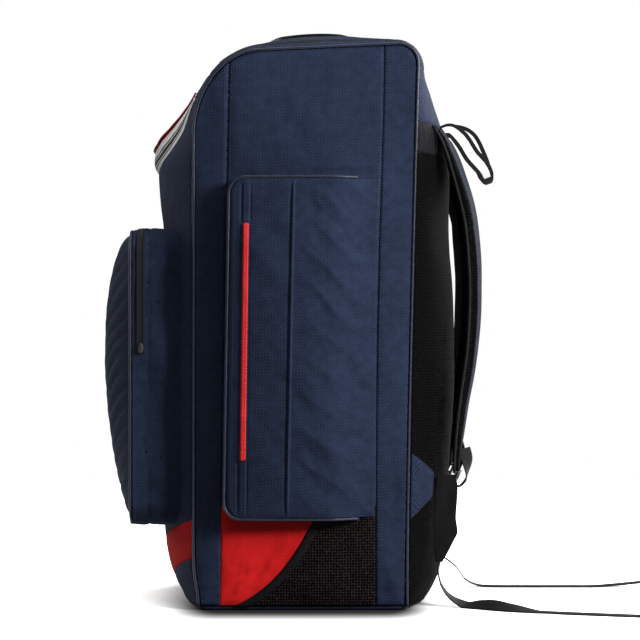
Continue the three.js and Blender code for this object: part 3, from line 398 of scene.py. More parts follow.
def on_outline(s):
    s = np.clip(s, 0, outline_length)
    return np.interp(s, outline_s, outline[:, 0]), np.interp(s, outline_s, outline[:, 1])


def outline_out(s):
    inner = np.clip(s, 0.0015, outline_length - 0.0015)
    y0, z0 = on_outline(inner - 0.0015)
    y1, z1 = on_outline(inner + 0.0015)
    length = np.hypot(y1 - y0, z1 - z0)
    return -(z1 - z0) / length, (y1 - y0) / length


fullness_table = np.array([
    (0, 0.38), (0.04, 0.68), (0.12, 0.75), (0.29, 0.72), (0.32, 0.79), (0.341, 0.8), (0.355, 0.56),
    (0.37, 0.32), (0.4, 0.24), (0.43, 0.24), (0.45, 0.3), (0.47, 0.41), (0.5, 0.44), (0.53, 0.36),
    (0.56, 0.26), (0.585, 0.2), (0.6, 0.34), (0.63, 0.62), (0.66, 0.78), (0.7, 0.82), (0.75, 0.93),
    (0.8, 1), (0.84, 1), (0.93, 0.87), (0.98, 0.75), (1, 0.5),
])


def smooth_read(table, column, where):
    keys = table[:, 0]
    values = table[:, column]
    slopes = np.empty(len(keys))
    slopes[1:-1] = (values[2:] - values[:-2]) / (keys[2:] - keys[:-2])
    slopes[0] = (values[1] - values[0]) / (keys[1] - keys[0])
    slopes[-1] = (values[-1] - values[-2]) / (keys[-1] - keys[-2])
    where = np.clip(where, keys[0], keys[-1])
    k = np.clip(np.searchsorted(keys, where, side="right") - 1, 0, len(keys) - 2)
    span = keys[k + 1] - keys[k]
    t = (where - keys[k]) / span
    rise = slopes[k] * span
    fall = slopes[k + 1] * span
    low = values[k]
    high = values[k + 1]
    cubic = 2 * low - 2 * high + rise + fall
    square = -3 * low + 3 * high - 2 * rise - fall
    return cubic * t ** 3 + square * t ** 2 + rise * t + low


def on_skin(s, x, lift):
    y, z = on_outline(s)
    out_y, out_z = outline_out(s)
    across = np.maximum(1 - (x / half_width) ** 2, 0)
    out = fullness * smooth_read(fullness_table, 1, s / outline_length) * across + lift
    return xyz(x, y + out_y * out, z + out_z * out)


def outline_at(height, low, high):
    rising = on_outline(low)[1] < on_outline(high)[1]
    for _ in range(40):
        middle = (low + high) / 2
        if (on_outline(middle)[1] < height) == rising:
            low = middle
        else:
            high = middle
    return (low + high) / 2


front_length = outline_at(dome_foot, 0, 0.45 * outline_length)
back_start = outline_length - (body_height - back_corner - body_foot)
front_over_dome = 0.096
yoke_height = 0.084
back_band_height = 0.044
top_seam = front_length + front_over_dome
yoke_seam = outline_at(body_height - back_corner - gap, back_start, outline_length)
band_seam = yoke_seam + yoke_height
mesh_seam = band_seam + back_band_height


def front_at(z):
    return np.interp(z, outline[:300, 1], outline_s[:300])


def back_at(z):
    return np.interp(-z, -outline[-399:, 1], outline_s[-399:])


def over_top(y):
    return np.interp(y, outline[130:400, 0], outline_s[130:400])


def smooth_step(share):
    t = np.clip(share, 0, 1)
    return t * t * (3 - 2 * t)


def value_noise(u, v, seed):
    rng = np.random.default_rng(seed)
    lattice = rng.random((64, 64))
    iu = np.floor(u).astype(int)
    iv = np.floor(v).astype(int)
    fu = smooth_step(u - iu)
    fv = smooth_step(v - iv)
    a = lattice[iu % 64, iv % 64]
    b = lattice[(iu + 1) % 64, iv % 64]
    c = lattice[iu % 64, (iv + 1) % 64]
    d = lattice[(iu + 1) % 64, (iv + 1) % 64]
    return (a * (1 - fu) + b * fu) * (1 - fv) + (c * (1 - fu) + d * fu) * fv - 0.5


def rumple(u, v, size, seed, turn=0.0, stretch=1.0):
    x = (u * math.cos(turn) + v * math.sin(turn)) / size
    y = (-u * math.sin(turn) + v * math.cos(turn)) / (size * stretch)
    total = value_noise(x, y, seed) + 0.5 * value_noise(2.1 * x, 2.1 * y, seed + 1)
    return total + 0.25 * value_noise(4.3 * x, 4.3 * y, seed + 2)


def shell(name, points, uv, thickness=cloth, inner_points=None):
    rows, columns = points.shape[:2]
    if inner_points is None:
        inner_points = points - grid_normals(points) * thickness
    index = np.arange(rows * columns).reshape(rows, columns)
    inner = index + rows * columns
    a, b = index[:-1, :-1].ravel(), index[1:, :-1].ravel()
    c, d = index[1:, 1:].ravel(), index[:-1, 1:].ravel()
    outer_faces = np.column_stack([a, b, c, d])
    inner_faces = np.column_stack([d, c, b, a]) + rows * columns
    rims = []
    for edge, far in (
        (index[0, ::-1], inner[0, ::-1]), (index[-1], inner[-1]),
        (index[:, 0], inner[:, 0]), (index[::-1, -1], inner[::-1, -1]),
    ):
        rims.append(np.column_stack([edge[1:], edge[:-1], far[:-1], far[1:]]))
    faces = np.vstack([outer_faces, inner_faces, *rims])
    all_points = np.vstack([points.reshape(-1, 3), inner_points.reshape(-1, 3)])
    all_uv = np.vstack([uv.reshape(-1, 2), uv.reshape(-1, 2)])
    return mesh_piece(name, all_points, faces, all_uv)


def dress(piece, finish, slot, *nodes):
    piece.data.materials.append(finish)
    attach(piece, "root")
    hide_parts(*nodes)
    return piece


panel_half = half_width - cloth - gap
band_foot = 0.032
band_rise = 0.044
band_height = 0.055


def body_panel(name, low, high, relief, rows, finish, slot, node_name):
    columns = 84
    x = np.linspace(-panel_half, panel_half, columns + 1)[None, :] + np.zeros((rows + 1, 1))
    share = np.linspace(0, 1, rows + 1)[:, None]
    low_s = low(x)
    high_s = high(x)
    s = low_s + (high_s - low_s) * share
    edge = np.minimum(s - low_s, high_s - s)
    side = panel_half - np.abs(x)
    dip = -0.0016 * np.exp(-edge / 0.003) - 0.0012 * np.exp(-side / 0.006)
    pucker = 0.0006 * np.sin(2 * math.pi * x / 0.013) * np.exp(-edge / 0.010)
    pucker = pucker + 0.0006 * np.sin(2 * math.pi * s / 0.015) * np.exp(-side / 0.010)
    fade = 1 - np.exp(-np.minimum(edge, side) / 0.02)
    points = on_skin(s, x, dip + pucker + relief(s, x) * fade)
    normal = grid_normals(points)
    inset = max(1, round(0.003 * rows / float(np.mean(high_s - low_s))))
    for row, end in ((inset, "low"), (rows - inset, "high")):
        if 0 < row < rows:
            stitches(f"{name}_stitch_{end}", points[row, 2:-2], normal[row, 2:-2], navy_thread)
    return dress(shell(name, points, np.stack([x, s], axis=-1)), finish, slot, node_name)


def front_relief(s, x):
    slack = 0.006 * rumple(x, s, 0.12, 11, 0.5, 2.2)
    return slack + 0.003 * rumple(x, s, 0.045, 17, -0.6, 2.5)


def top_relief(s, x):
    return 0.003 * rumple(x, s, 0.10, 23, 0.2, 1.6) + 0.0015 * rumple(x, s, 0.03, 29, 1.2, 2.0)


def back_relief(s, x):
    return 0.003 * rumple(x, s, 0.09, 31, 0.9, 1.8)


def band_relief(s, x):
    shifted = x + 0.004 * value_noise(x / 0.03, s / 0.02, 37)
    return 0.0016 * np.sin(2 * math.pi * shifted / 0.0125) + back_relief(s, x)


def chevron(offset):
    return lambda x: front_at(band_foot) + band_rise * np.abs(x) / half_width + offset


def level(s):
    return lambda x: s + 0 * x


body_panel("front_foot_cloth", level(0), chevron(-gap / 2), front_relief, 16,
           navy_cloth, "navy_cloth", "front_foot_panel")
body_panel("front_red_cloth", chevron(gap / 2), chevron(band_height - gap / 2), front_relief, 18,
           red_cloth, "red_cloth", "front_red_band")
body_panel("front_cloth", chevron(band_height + gap / 2), level(top_seam - gap / 2), front_relief, 190,
           navy_cloth, "navy_cloth", "front_panel")
body_panel("top_cloth", level(top_seam + gap / 2), level(yoke_seam - gap / 2), top_relief, 90,
           navy_cloth, "navy_cloth", "top_panel")
body_panel("yoke_cloth", level(yoke_seam + gap / 2), level(band_seam - gap / 2), back_relief, 26,
           navy_cloth, "navy_cloth", "back_yoke")

# The back: a black band across it, and a padded panel of spacer mesh that the wearer leans on.
black_cloth = cloth_finish("black_polyester", (0.0014, 0.0014, 0.0017), (0.0095, 0.009, 0.010), 0.0034,
                           gloss=0.04)


def mesh_finish(name, dark, light, pitch):
    finish, tree, shader = new_finish(name, 0.85, 0.02)
    place = node(tree, "ShaderNodeUVMap", -1300, 0, uv_map="cloth")
    cells = node(tree, "ShaderNodeTexVoronoi", -1000, 0, {"Scale": 1 / pitch, "Randomness": 0.25},
                 feature="F1")
    tree.links.new(place.outputs[0], cells.inputs["Vector"])
    hole = node(tree, "ShaderNodeMapRange", -750, 0, {"From Min": 0.36, "From Max": 0.56})
    tree.links.new(cells.outputs["Distance"], hole.inputs["Value"])
    colour = node(tree, "ShaderNodeMix", -350, 0, {"A": (*dark, 1), "B": (*light, 1)}, data_type="RGBA")
    tree.links.new(hole.outputs[0], colour.inputs["Factor"])
    tree.links.new(colour.outputs["Result"], shader.inputs["Base Color"])
    relief = node(tree, "ShaderNodeBump", -350, -300, {"Strength": 0.7, "Distance": 0.001})
    tree.links.new(hole.outputs[0], relief.inputs["Height"])
    tree.links.new(relief.outputs[0], shader.inputs["Normal"])
    return finish


black_mesh = mesh_finish("black_spacer_mesh", (0.0003, 0.0003, 0.0003), (0.0026, 0.0024, 0.0026), 0.0040)
corner_mesh = mesh_finish("black_corner_mesh", (0.0005, 0.0004, 0.0004), (0.0150, 0.0110, 0.0112), 0.0040)
body_panel("band_cloth", level(band_seam + gap / 2), level(mesh_seam - gap / 2), band_relief, 14,
           black_cloth, "black_cloth", "back_band")
body_panel("mesh_pad", level(mesh_seam + gap / 2), level(outline_length), back_relief, 120,
           black_mesh, "black_mesh", "back_mesh_pad")

# The sides: on each, a front strip, a centre panel and a back strip of navy polyester, with a
# red and a black mesh corner at the foot of the centre, and a binding on the arc between them.
side_fullness = 0.020
side_foot = 0.132
side_height = 0.492
side_head = side_foot + side_height
front_seam_top = -0.106
front_seam_foot = -0.119
back_seam_top = 0.117
back_seam_foot = 0.1055
corner_height = 0.150
binding_width = 0.011
binding_thickness = 0.0015
rim_inset = cloth + gap


def side_x(y, z):
    rise = np.clip((z - dome_foot) / dome_rise, 0, 1)
    front = -front_reach + dome_depth * (1 - np.sqrt(1 - rise ** 2))
    back = back_reach - back_foot_in * (1 - z / body_height)
    across = np.clip(np.abs((2 * y - front - back) / (back - front)), 0, 1)
    up = np.clip(np.abs(2 * z / body_height - 1), 0, 1)
    return half_width + side_fullness * (1 - across ** 2.5) * (1 - up ** 5)


def front_seam(z):
    return front_seam_foot + (front_seam_top - front_seam_foot) * z / body_height


def back_seam(z):
    return back_seam_foot + (back_seam_top - back_seam_foot) * smooth_step(z / body_height) ** 3


def rim(share):
    y, z = on_outline(share * outline_length)
    out_y, out_z = outline_out(share * outline_length)
    return y - out_y * rim_inset, z - out_z * rim_inset


def rim_share(y, low, high):
    for _ in range(40):
        middle = (low + high) / 2
        if rim(middle)[0] < y:
            low = middle
        else:
            high = middle
    return (low + high) / 2


dome_start = (front_length - 0.001) / outline_length
top_middle = (front_length + 0.192) / outline_length
corner_end = (yoke_seam - 0.001) / outline_length
front_top = rim_share(front_seam_top, dome_start, top_middle)
back_top = rim_share(back_seam_top, top_middle, corner_end)


def front_edge(z):
    return rim(front_at(np.clip(z, body_foot, dome_foot)) / outline_length)[0]


def back_edge(z):
    return rim(back_at(np.clip(z, body_foot, body_height - back_corner)) / outline_length)[0]


def side_relief(y, z, seed):
    folds = 0.0045 * rumple(y, z, 0.11, seed, 0.7, 1.8) + 0.0022 * rumple(y, z, 0.035, seed + 5, -0.5, 2.4)
    slumped = 0.004 * rumple(y, z, 0.024, seed + 8, 0.3, 1.6) * smooth_step((0.11 - z) / 0.09)
    tucked = 0.003 * np.exp(-((z - side_head - 0.004) / 0.0025) ** 2) * smooth_step((y + 0.03) / 0.05)
    return folds + slumped * smooth_step(y / 0.1) - tucked


def to_side(grid, sign):
    return grid if sign > 0 else grid[:, ::-1] * (-1, 1, 1)


def side_shell(name, sign, points, inner_points, finish, slot, node_name, uv=None):
    points = to_side(points, sign)
    inner_points = to_side(inner_points, sign)
    uv = points[..., 1:] if uv is None else uv
    piece = shell(name, points[::-1], uv[::-1], inner_points=inner_points[::-1])
    return dress(piece, finish, slot, node_name)


def side_strip(name, sign, foot, left, right, head, rows, columns, seed, finish, slot, node_name):
    j = np.linspace(0, 1, columns + 1)[None, :]
    i = np.linspace(0, 1, rows + 1)[:, None]
    head_y, head_z = head(j)
    z = foot + (head_z - foot) * i
    bowed = left(z) + (right(z) - left(z)) * j
    head_bowed = left(head_z) + (right(head_z) - left(head_z)) * j
    y = bowed + (head_y - head_bowed) * i
    side = np.minimum(j, 1 - j) * (right(z) - left(z))
    end = np.minimum(z - foot, head_z - z)
    edge = np.minimum(side, end)
    dip = -0.0011 * np.exp(-edge / 0.0028)
    pucker = 0.0005 * np.sin(2 * math.pi * z / 0.014 + seed) * np.exp(-side / 0.008)
    fade = 1 - np.exp(-edge / 0.015)
    x = side_x(y, z) + dip + pucker + side_relief(y, z, seed) * fade
    points = xyz(x, y, z)
    placed = to_side(points, sign)
    for column in (1, columns - 1):
        stitches(f"{name}_stitch_{column}", placed[2:-2, column], (sign, 0, 0), navy_thread)
    return side_shell(name, sign, points, points - np.array([cloth, 0, 0]), finish, slot, node_name)


def strip_head(low, high, shift_low, shift_high):
    def head(j):
        y, z = rim(low + (high - low) * j)
        return y + (shift_low + (shift_high - shift_low) * j) * gap / 2, z
    return head


centre_foot = back_seam_foot - front_seam_foot
arc_from = np.array([front_seam_foot + 0.1 * centre_foot, body_foot])
arc_pull = np.array([front_seam_foot + 0.46 * centre_foot, 0.3 * corner_height])
arc_to = np.array([front_seam_foot + 0.63 * centre_foot, corner_height])


def corner_arc(t):
    t = np.asarray(t)[..., None]
    return (1 - t) ** 2 * arc_from + 2 * (1 - t) * t * arc_pull + t ** 2 * arc_to


def corner_piece(name, sign, left, right, seed, finish, slot, node_name):
    i, j = steps(61, 43)
    arc = corner_arc(i[:, 0])
    z = np.minimum(arc[:, 1], corner_height - gap / 2)[:, None] + 0 * j
    start = left(arc[:, :1], z)
    across = right(arc[:, :1], z) - start
    y = start + across * j
    edge = np.minimum(np.minimum(j, 1 - j) * across, z - body_foot)
    edge = np.maximum(edge, 0)
    crushed = 0.0075 * rumple(y, z, 0.030, seed + 2, -0.7, 1.7) * smooth_step((0.12 - z) / 0.08)
    crumple = side_relief(y, z, seed) + crushed
    x = side_x(y, z) - 0.001 * np.exp(-edge / 0.003) + crumple * (1 - np.exp(-edge / 0.012))
    points = xyz(x, y, z)
    return side_shell(name, sign, points, points - np.array([cloth, 0, 0]), finish, slot, node_name)


for label, sign, seed in (("right", 1, 41), ("left", -1, 71)):
    side_strip(f"side_front_cloth_{label}", sign, body_foot, front_edge,
               lambda z: front_seam(z) - gap / 2, strip_head(dome_start, front_top, 0, -1),
               200, 16, seed, navy_cloth, "navy_cloth", f"side_front_strip_{label}")
    side_strip(f"side_back_cloth_{label}", sign, body_foot, lambda z: back_seam(z) + gap / 2,
               back_edge, strip_head(back_top, corner_end, 1, 0),
               200, 16, seed + 1, navy_cloth, "navy_cloth", f"side_back_strip_{label}")
    side_strip(f"side_centre_cloth_{label}", sign, corner_height + gap / 2,
               lambda z: front_seam(z) + gap / 2, lambda z: back_seam(z) - gap / 2,
               strip_head(front_top, back_top, 1, -1),
               120, 50, seed + 2, navy_cloth, "navy_cloth", f"side_centre_{label}")
    corner_piece(f"red_corner_cloth_{label}", sign, lambda a, z: front_seam(z) + gap / 2,
                 lambda a, z: a - gap / 2, seed + 3, red_cloth, "red_cloth", f"side_red_corner_{label}")
    corner_piece(f"mesh_corner_cloth_{label}", sign, lambda a, z: a + gap / 2,
                 lambda a, z: back_seam(z) - gap / 2, seed + 4, corner_mesh, "black_mesh",
                 f"side_mesh_corner_{label}")
    i = np.linspace(0.02, 0.86, 60)
    arc = corner_arc(i)
    along = unit(np.gradient(arc, axis=0))
    j = np.linspace(0, 1, 7)
    y = arc[:, :1] + along[:, 1:] * binding_width * j
    z = np.maximum(arc[:, 1:] - along[:, :1] * binding_width * j, body_foot)
    x = side_x(y, z) + ease + binding_thickness - 0.0006 * (2 * j - 1) ** 4
    points = xyz(x, y, z)
    inner_points = xyz(side_x(y, z) + ease, y, z)
    uv = np.stack([binding_width * j + 0 * z, np.linspace(0, 0.2, 60)[:, None] + 0 * z], axis=-1)
    side_shell(f"corner_tape_{label}", sign, points, inner_points, black_cloth, "black_cloth",
               f"corner_binding_{label}", uv)

# Piping: a cord in a narrow bias strip of satin polyester, sewn into the seams between the
# sides and the other panels, and round the base, where it is thicker.
pipe = 0.0022
piping_finish = cloth_finish("piping_satin", (0.002, 0.003, 0.008), (0.012, 0.016, 0.034), 0.0012,
                             bump=0.15, roughness=0.34, gloss=0.17)


def ring_faces(low, high):
    corners = (low, np.roll(low, -1, axis=1), np.roll(high, -1, axis=1), high)
    return [tuple(face) for face in np.column_stack([corner.ravel() for corner in corners])]


def tube(name, path, radius, closed, sides=10, out=None):
    path = np.asarray(path, dtype=float)
    if closed:
        tangent = np.roll(path, -1, axis=0) - np.roll(path, 1, axis=0)
    else:
        tangent = np.gradient(path, axis=0)
    tangent = unit(tangent)
    out = np.asarray(out, dtype=float) + 0 * path
    out = unit(out - tangent * np.sum(out * tangent, axis=1, keepdims=True))
    rise = np.cross(tangent, out)
    length = run_along(path)
    thick = radius * (1 + 0.05 * np.sin(length / 0.004) + 0.08 * value_noise(length / 0.02, 0 * length, 5))
    turn = np.linspace(0, 2 * math.pi, sides, endpoint=False)
    ring = out[:, None] * np.cos(turn)[:, None] + rise[:, None] * np.sin(turn)[:, None]
    points = path[:, None] + ring * thick[:, None, None]
    count = len(path)
    index = np.arange(count * sides).reshape(count, sides)
    nxt = np.roll(index, -1, axis=0) if closed else index[1:]
    low = index if closed else index[:-1]
    flat = ring_faces(low, nxt)
    if not closed:
        flat.append(list(index[0][::-1]))
        flat.append(list(index[-1]))
    uv = np.stack([length[:, None] + 0 * turn, radius * turn + 0 * length[:, None]], axis=-1)
    return mesh_piece(name, points.reshape(-1, 3), flat, uv.reshape(-1, 2))


for label, sign in (("right", 1), ("left", -1)):
    s = np.linspace(0, outline_length, 560)
    y, z = on_outline(s)
    out_y, out_z = outline_out(s)
    dress(tube(f"side_cord_{label}", xyz(sign * half_width, y, z), pipe, False, out=xyz(0, out_y, out_z)),
          piping_finish, "piping", f"side_piping_{label}")


def quadratic(a, b, c, count):
    t = np.linspace(0, 1, count, endpoint=False)[:, None]
    return (1 - t) ** 2 * np.array(a) + 2 * (1 - t) * t * np.array(b) + t ** 2 * np.array(c)


def even(path, count, closed=True):
    loop = np.vstack([path, path[:1]]) if closed else path
    length = run_along(loop)
    at = np.linspace(0, length[-1], count, endpoint=not closed)
    return np.column_stack([np.interp(at, length, loop[:, k]) for k in range(loop.shape[1])])


# The base piping uses a darker copy of the piping satin: painted shade against the top light, with less gloss
# as well.
base_piping_painted_shade = cloth_finish("base_piping_satin_painted_shade", (0.0015, 0.002, 0.005), (0.010, 0.013, 0.027), 0.0016,
                           bump=0.15, roughness=0.5, gloss=0.1)
base_pipe = 0.004
base_corner = 0.012
foot_half = half_width - base_pipe / 2
front_foot = -front_reach + front_foot_in
back_foot = back_reach - back_foot_in
front_bulge = fullness * 0.38
back_bulge = fullness * 0.5
turn_x = foot_half - base_corner
front_turn = front_foot + base_corner
back_turn = back_foot - base_corner
foot_loop = even(np.vstack([quadratic(*curve) for curve in (
    ((-turn_x, front_foot), (0, front_foot - 2 * front_bulge), (turn_x, front_foot), 60),
    ((turn_x, front_foot), (foot_half, front_foot), (foot_half, front_turn), 12),
    ((foot_half, front_turn), (foot_half, 0), (foot_half, back_turn), 60),
    ((foot_half, back_turn), (foot_half, back_foot), (turn_x, back_foot), 12),
    ((turn_x, back_foot), (0, back_foot + 2 * back_bulge), (-turn_x, back_foot), 60),
    ((-turn_x, back_foot), (-foot_half, back_foot), (-foot_half, back_turn), 12),
    ((-foot_half, back_turn), (-foot_half, 0), (-foot_half, front_turn), 60),
    ((-foot_half, front_turn), (-foot_half, front_foot), (-turn_x, front_foot), 12),
)]), 320)


def loop_out(loop):
    tangent = unit(np.roll(loop, -1, axis=0) - np.roll(loop, 1, axis=0))
    return np.column_stack([tangent[:, 1], -tangent[:, 0]])


foot_out = loop_out(foot_loop)
base_path = xyz(*(foot_loop - foot_out * base_pipe).T, base_pipe)
dress(tube("base_cord", base_path, base_pipe * 0.96, True, 14, xyz(*foot_out.T, 0)), base_piping_painted_shade, "piping",
      "base_piping")
inside = foot_loop - foot_out * (2 * base_pipe + gap)
count = len(inside)
rings = [inside * share for share in (1, 0.97, 0.7, 0.35)]
base_lift = 0.0003
base_under = [xyz(*ring.T, base_lift if k else 0.0) for k, ring in enumerate(rings)]
base_top = [xyz(*ring.T, cloth) for ring in rings]
base_all = np.vstack([*base_under, [[0, 0, base_lift]], *base_top, [[0, 0, cloth]]])
base_faces = []
up = 4 * count + 1
for k in range(3):
    low, high = k * count, (k + 1) * count
    for i in range(count):
        n = (i + 1) % count
        base_faces.append((low + n, low + i, high + i, high + n))
        base_faces.append((up + low + i, up + low + n, up + high + n, up + high + i))
for i in range(count):
    n = (i + 1) % count
    base_faces.append((3 * count + n, 3 * count + i, 4 * count))
    base_faces.append((up + 3 * count + i, up + 3 * count + n, up + 4 * count))
    base_faces.append((i, n, up + n, up + i))
base = mesh_piece("base_cloth", base_all, base_faces, base_all[:, :2])
dress(base, navy_cloth, "navy_cloth", "base_panel")

# Bands that lie on the shell: the two-way main zip round the top panel, the webbing grab
# handle along the top, and the padded handle across the front that hangs from its two ends.
zip_finish = cloth_finish("zip_tape_black", (0.0014, 0.0018, 0.003), (0.007, 0.009, 0.014), 0.0016,
                          roughness=0.7, gloss=0.1)
grey_webbing = cloth_finish("webbing_grey", (0.42, 0.41, 0.41), (0.78, 0.77, 0.77), 0.0013, bump=0.35)
black_webbing = cloth_finish("webbing_black", (0.0012, 0.0012, 0.0014), (0.008, 0.008, 0.0088), 0.0026,
                             bump=0.3, roughness=0.6)
red_piping = cloth_finish("red_edging", (0.36, 0.011, 0.014), (0.68, 0.036, 0.04), 0.0012, roughness=0.6)
red_roll = cloth_finish("red_rolled_edge", (0.10, 0.004, 0.006), (0.24, 0.010, 0.012), 0.0012, roughness=0.6)


def paint_stripes(piece, stripes, width):
    place = read_all(piece.data.uv_layers["cloth"].data, "uv", 2)[:, 0] / width
    starts = read_all(piece.data.polygons, "loop_start", 1, np.int32)[:, 0]
    middle = np.array([place[s:s + 4].mean() for s in starts])
    slots = np.zeros(len(middle), dtype=np.int32)
    for low, high, slot in stripes:
        slots[(middle >= low) & (middle < high)] = slot
    piece.data.polygons.foreach_set("material_index", slots)


def skin_band(name, path, width, thickness, lift, rows, columns, roll=0.0):
    t = np.linspace(0, 1, rows + 1)
    s, x = path(t)
    ds = np.gradient(s)
    dx = np.gradient(x)
    length = np.hypot(ds, dx)
    run = np.concatenate([[0], np.cumsum(np.hypot(np.diff(s), np.diff(x)))])
    j = np.linspace(0, 1, columns + 1)
    out = (j - 0.5) * width
    all_s = s[:, None] + (dx / length)[:, None] * out
    all_x = x[:, None] - (ds / length)[:, None] * out
    height = lift(t[:, None], j[None, :]) + thickness * (1 - roll * (2 * j - 1) ** 6)
    points = on_skin(all_s, all_x, height)
    inner_points = on_skin(all_s, all_x, lift(t[:, None], j[None, :]) + 0 * height)
    uv = np.stack([out + width / 2 + 0 * all_s, run[:, None] + 0 * out], axis=-1)
    return shell(name, points[:, ::-1], uv[:, ::-1], inner_points=inner_points[:, ::-1])


webbing = 0.0018
zip_width = 0.022
zip_thickness = 0.0016
coil_spacing = 0.0018
coil_length = 0.0036
coil_radius = 0.0007
zip_inset = 0.034
zip_half = half_width - zip_inset
zip_front = top_seam + 0.022
zip_back = yoke_seam - zip_inset
zip_turn = 0.040
zip_route = even(np.vstack([
    [(zip_back, -zip_half)],
    quadratic((zip_front + zip_turn, -zip_half), (zip_front, -zip_half),
              (zip_front, -zip_half + zip_turn), 24),
    quadratic((zip_front, zip_half - zip_turn), (zip_front, zip_half), (zip_front + zip_turn, zip_half), 24),
    [(zip_front + zip_turn, zip_half), (zip_back, zip_half)],
]), 400, closed=False)


def on_zip(t):
    share = np.linspace(0, 1, 400)
    return np.interp(t, share, zip_route[:, 0]), np.interp(t, share, zip_route[:, 1])


dress(skin_band("main_zip_tape", on_zip, zip_width, zip_thickness, lambda t, j: 2.2 * ease, 300, 8, 0.3),
      zip_finish, "zip_tape", "main_zip")
coil_s, coil_x = on_zip(np.linspace(0.01, 0.99, 600))
coil_run = unit(np.column_stack([np.gradient(coil_s), np.gradient(coil_x)]))
coil_lift = 2.2 * ease + zip_thickness + 0 * coil_s
coil = on_skin(coil_s, coil_x, coil_lift)
coil_side = on_skin(coil_s + 0.002 * coil_run[:, 1], coil_x - 0.002 * coil_run[:, 0], coil_lift)
rod_row("main_zip_coil", coil, coil_side - coil, coil_spacing, coil_length, coil_radius, black_thread)
plastic, plastic_tree, plastic_shader = new_finish("moulded_plastic", 0.5, 0.25)
plastic_place = node(plastic_tree, "ShaderNodeTexCoord", -900, 0)
plastic_noise = node(plastic_tree, "ShaderNodeTexNoise", -600, 0, {"Scale": 900})
plastic_bump = node(plastic_tree, "ShaderNodeBump", -300, -200, {"Strength": 0.12, "Distance": 0.0003})
plastic_ramp = paint_ramp(plastic_tree, -300, (0.004, 0.004, 0.0045), (0.012, 0.012, 0.014))
plastic_tree.links.new(plastic_place.outputs["Object"], plastic_noise.inputs["Vector"])
plastic_tree.links.new(plastic_noise.outputs[0], plastic_bump.inputs["Height"])
plastic_tree.links.new(plastic_noise.outputs[0], plastic_ramp.inputs[0])
plastic_tree.links.new(plastic_ramp.outputs[0], plastic_shader.inputs["Base Color"])
plastic_tree.links.new(plastic_bump.outputs[0], plastic_shader.inputs["Normal"])


def slider_on(name, centre, along, out, length, width, height, node_name):
    along = unit(np.array(along, dtype=float))
    out = unit(np.array(out, dtype=float))
    wide = np.cross(out, along)
    profile = [(-1, 0.55), (-0.7, 0.85), (0, 1), (0.6, 0.9), (1, 0.5)]
    points = []
    for share, size in profile:
        for a, b in ((-1, -1), (-1, 0.4), (-0.6, 1), (0.6, 1), (1, 0.4), (1, -1)):
            point = centre + along * share * length / 2 + wide * a * size * width / 2
            points.append(point + out * (b * (0.75 + 0.25 * size)) * height / 2)
    index = np.arange(30).reshape(5, 6)
    faces = ring_faces(index[:-1], index[1:]) + [tuple(index[0]), tuple(index[-1][::-1])]
    piece = mesh_piece(name, points, faces, smooth=False)
    bevel = piece.modifiers.new("bevel", "BEVEL")
    bevel.width = 0.0004
    bevel.segments = 2
    return dress(piece, plastic, "buckle_plastic", node_name)


slider_s, slider_x = on_zip(np.array([0.035, 0.055]))
slider_ends = on_skin(slider_s, slider_x, 0.0055 + 0 * slider_s)
slider_out = on_skin(slider_s, slider_x, 0.01 + 0 * slider_s)[0] - slider_ends[0]
slider_on("main_zip_runner", slider_ends.mean(axis=0), slider_ends[1] - slider_ends[0], slider_out,
          0.018, 0.009, 0.004, "main_zip_slider")


handle_width = 0.038
top_handle_middle = 0.012
top_handle_length = 0.165
top_handle_rise = 0.0065
front_handle_head = 0.062
front_handle_drop = 0.090
front_handle_half = 0.080
front_handle_stand = 0.026


def over_top_path(t):
    return over_top(top_handle_middle) + top_handle_length * (t - 0.5), 0 * t


def top_handle_lift(t, j):
    return ease + top_handle_rise * smooth_step(4 * np.minimum(t, 1 - t)) + 0 * j


top_handle = skin_band("top_handle_webbing", over_top_path, handle_width, webbing, top_handle_lift,
                       90, 24, 0.3)
dress(top_handle, grey_webbing, "grey_webbing", "top_handle")
top_handle.data.materials.append(black_webbing)
paint_stripes(top_handle, [(0, 0.12, 1), (0.88, 1.1, 1)], handle_width)


def front_handle_path(t):
    across = 2 * t - 1
    drop = front_handle_drop * (1 - np.abs(across) ** 2.4)
    out = front_handle_half * np.sign(across) * np.abs(across) ** 0.8
    return front_length + front_handle_head - drop, out


def front_handle_lift(t, j):
    return 2.2 * ease + front_handle_stand * smooth_step(4 * np.minimum(t, 1 - t)) * j


handle_rows = 110
handle_columns = 48
front_handle = skin_band("front_handle_webbing", front_handle_path, handle_width, webbing, front_handle_lift,
                         handle_rows, handle_columns, 0.3)
dress(front_handle, grey_webbing, "grey_webbing", "front_handle")
front_handle.data.materials.append(black_webbing)
front_handle.data.materials.append(red_piping)
paint_stripes(front_handle, [(0.20, 0.27, 1), (0.32, 0.50, 1), (0.55, 0.62, 1), (0.9, 1.1, 2)], handle_width)
outer_points = read_all(front_handle.data.vertices, "co", 3)[:(handle_rows + 1) * (handle_columns + 1)]
roll = tube("front_handle_roll", outer_points[::handle_columns + 1], 0.0031, False, 10, (0, -1, 0))
roll.data.materials.append(red_roll)
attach(roll, "root")

# The front pocket: a gusset that stands the face off the front, a coil zip let into the gusset
# over the top and down both sides, piping on the front edge and a stuffed, domed face.
pocket_half = 0.135
pocket_foot = 0.118
pocket_head = 0.550
pocket_reach = 0.251
pocket_corner = 0.036
pocket_fullness = 0.048


def rounded_loop(half, foot, head, corner, count):
    parts = []
    for cx, cz, start in (
        (half - corner, foot + corner, -90), (half - corner, head - corner, 0),
        (-half + corner, head - corner, 90), (-half + corner, foot + corner, 180),
    ):
        turn = np.radians(np.linspace(start, start + 90, 24))
        parts.append(np.column_stack([cx + corner * np.cos(turn), cz + corner * np.sin(turn)]))
    return even(np.vstack(parts), count)


gusset_loop = rounded_loop(pocket_half, pocket_foot, pocket_head, pocket_corner, 420)
gusset_out = loop_out(gusset_loop)


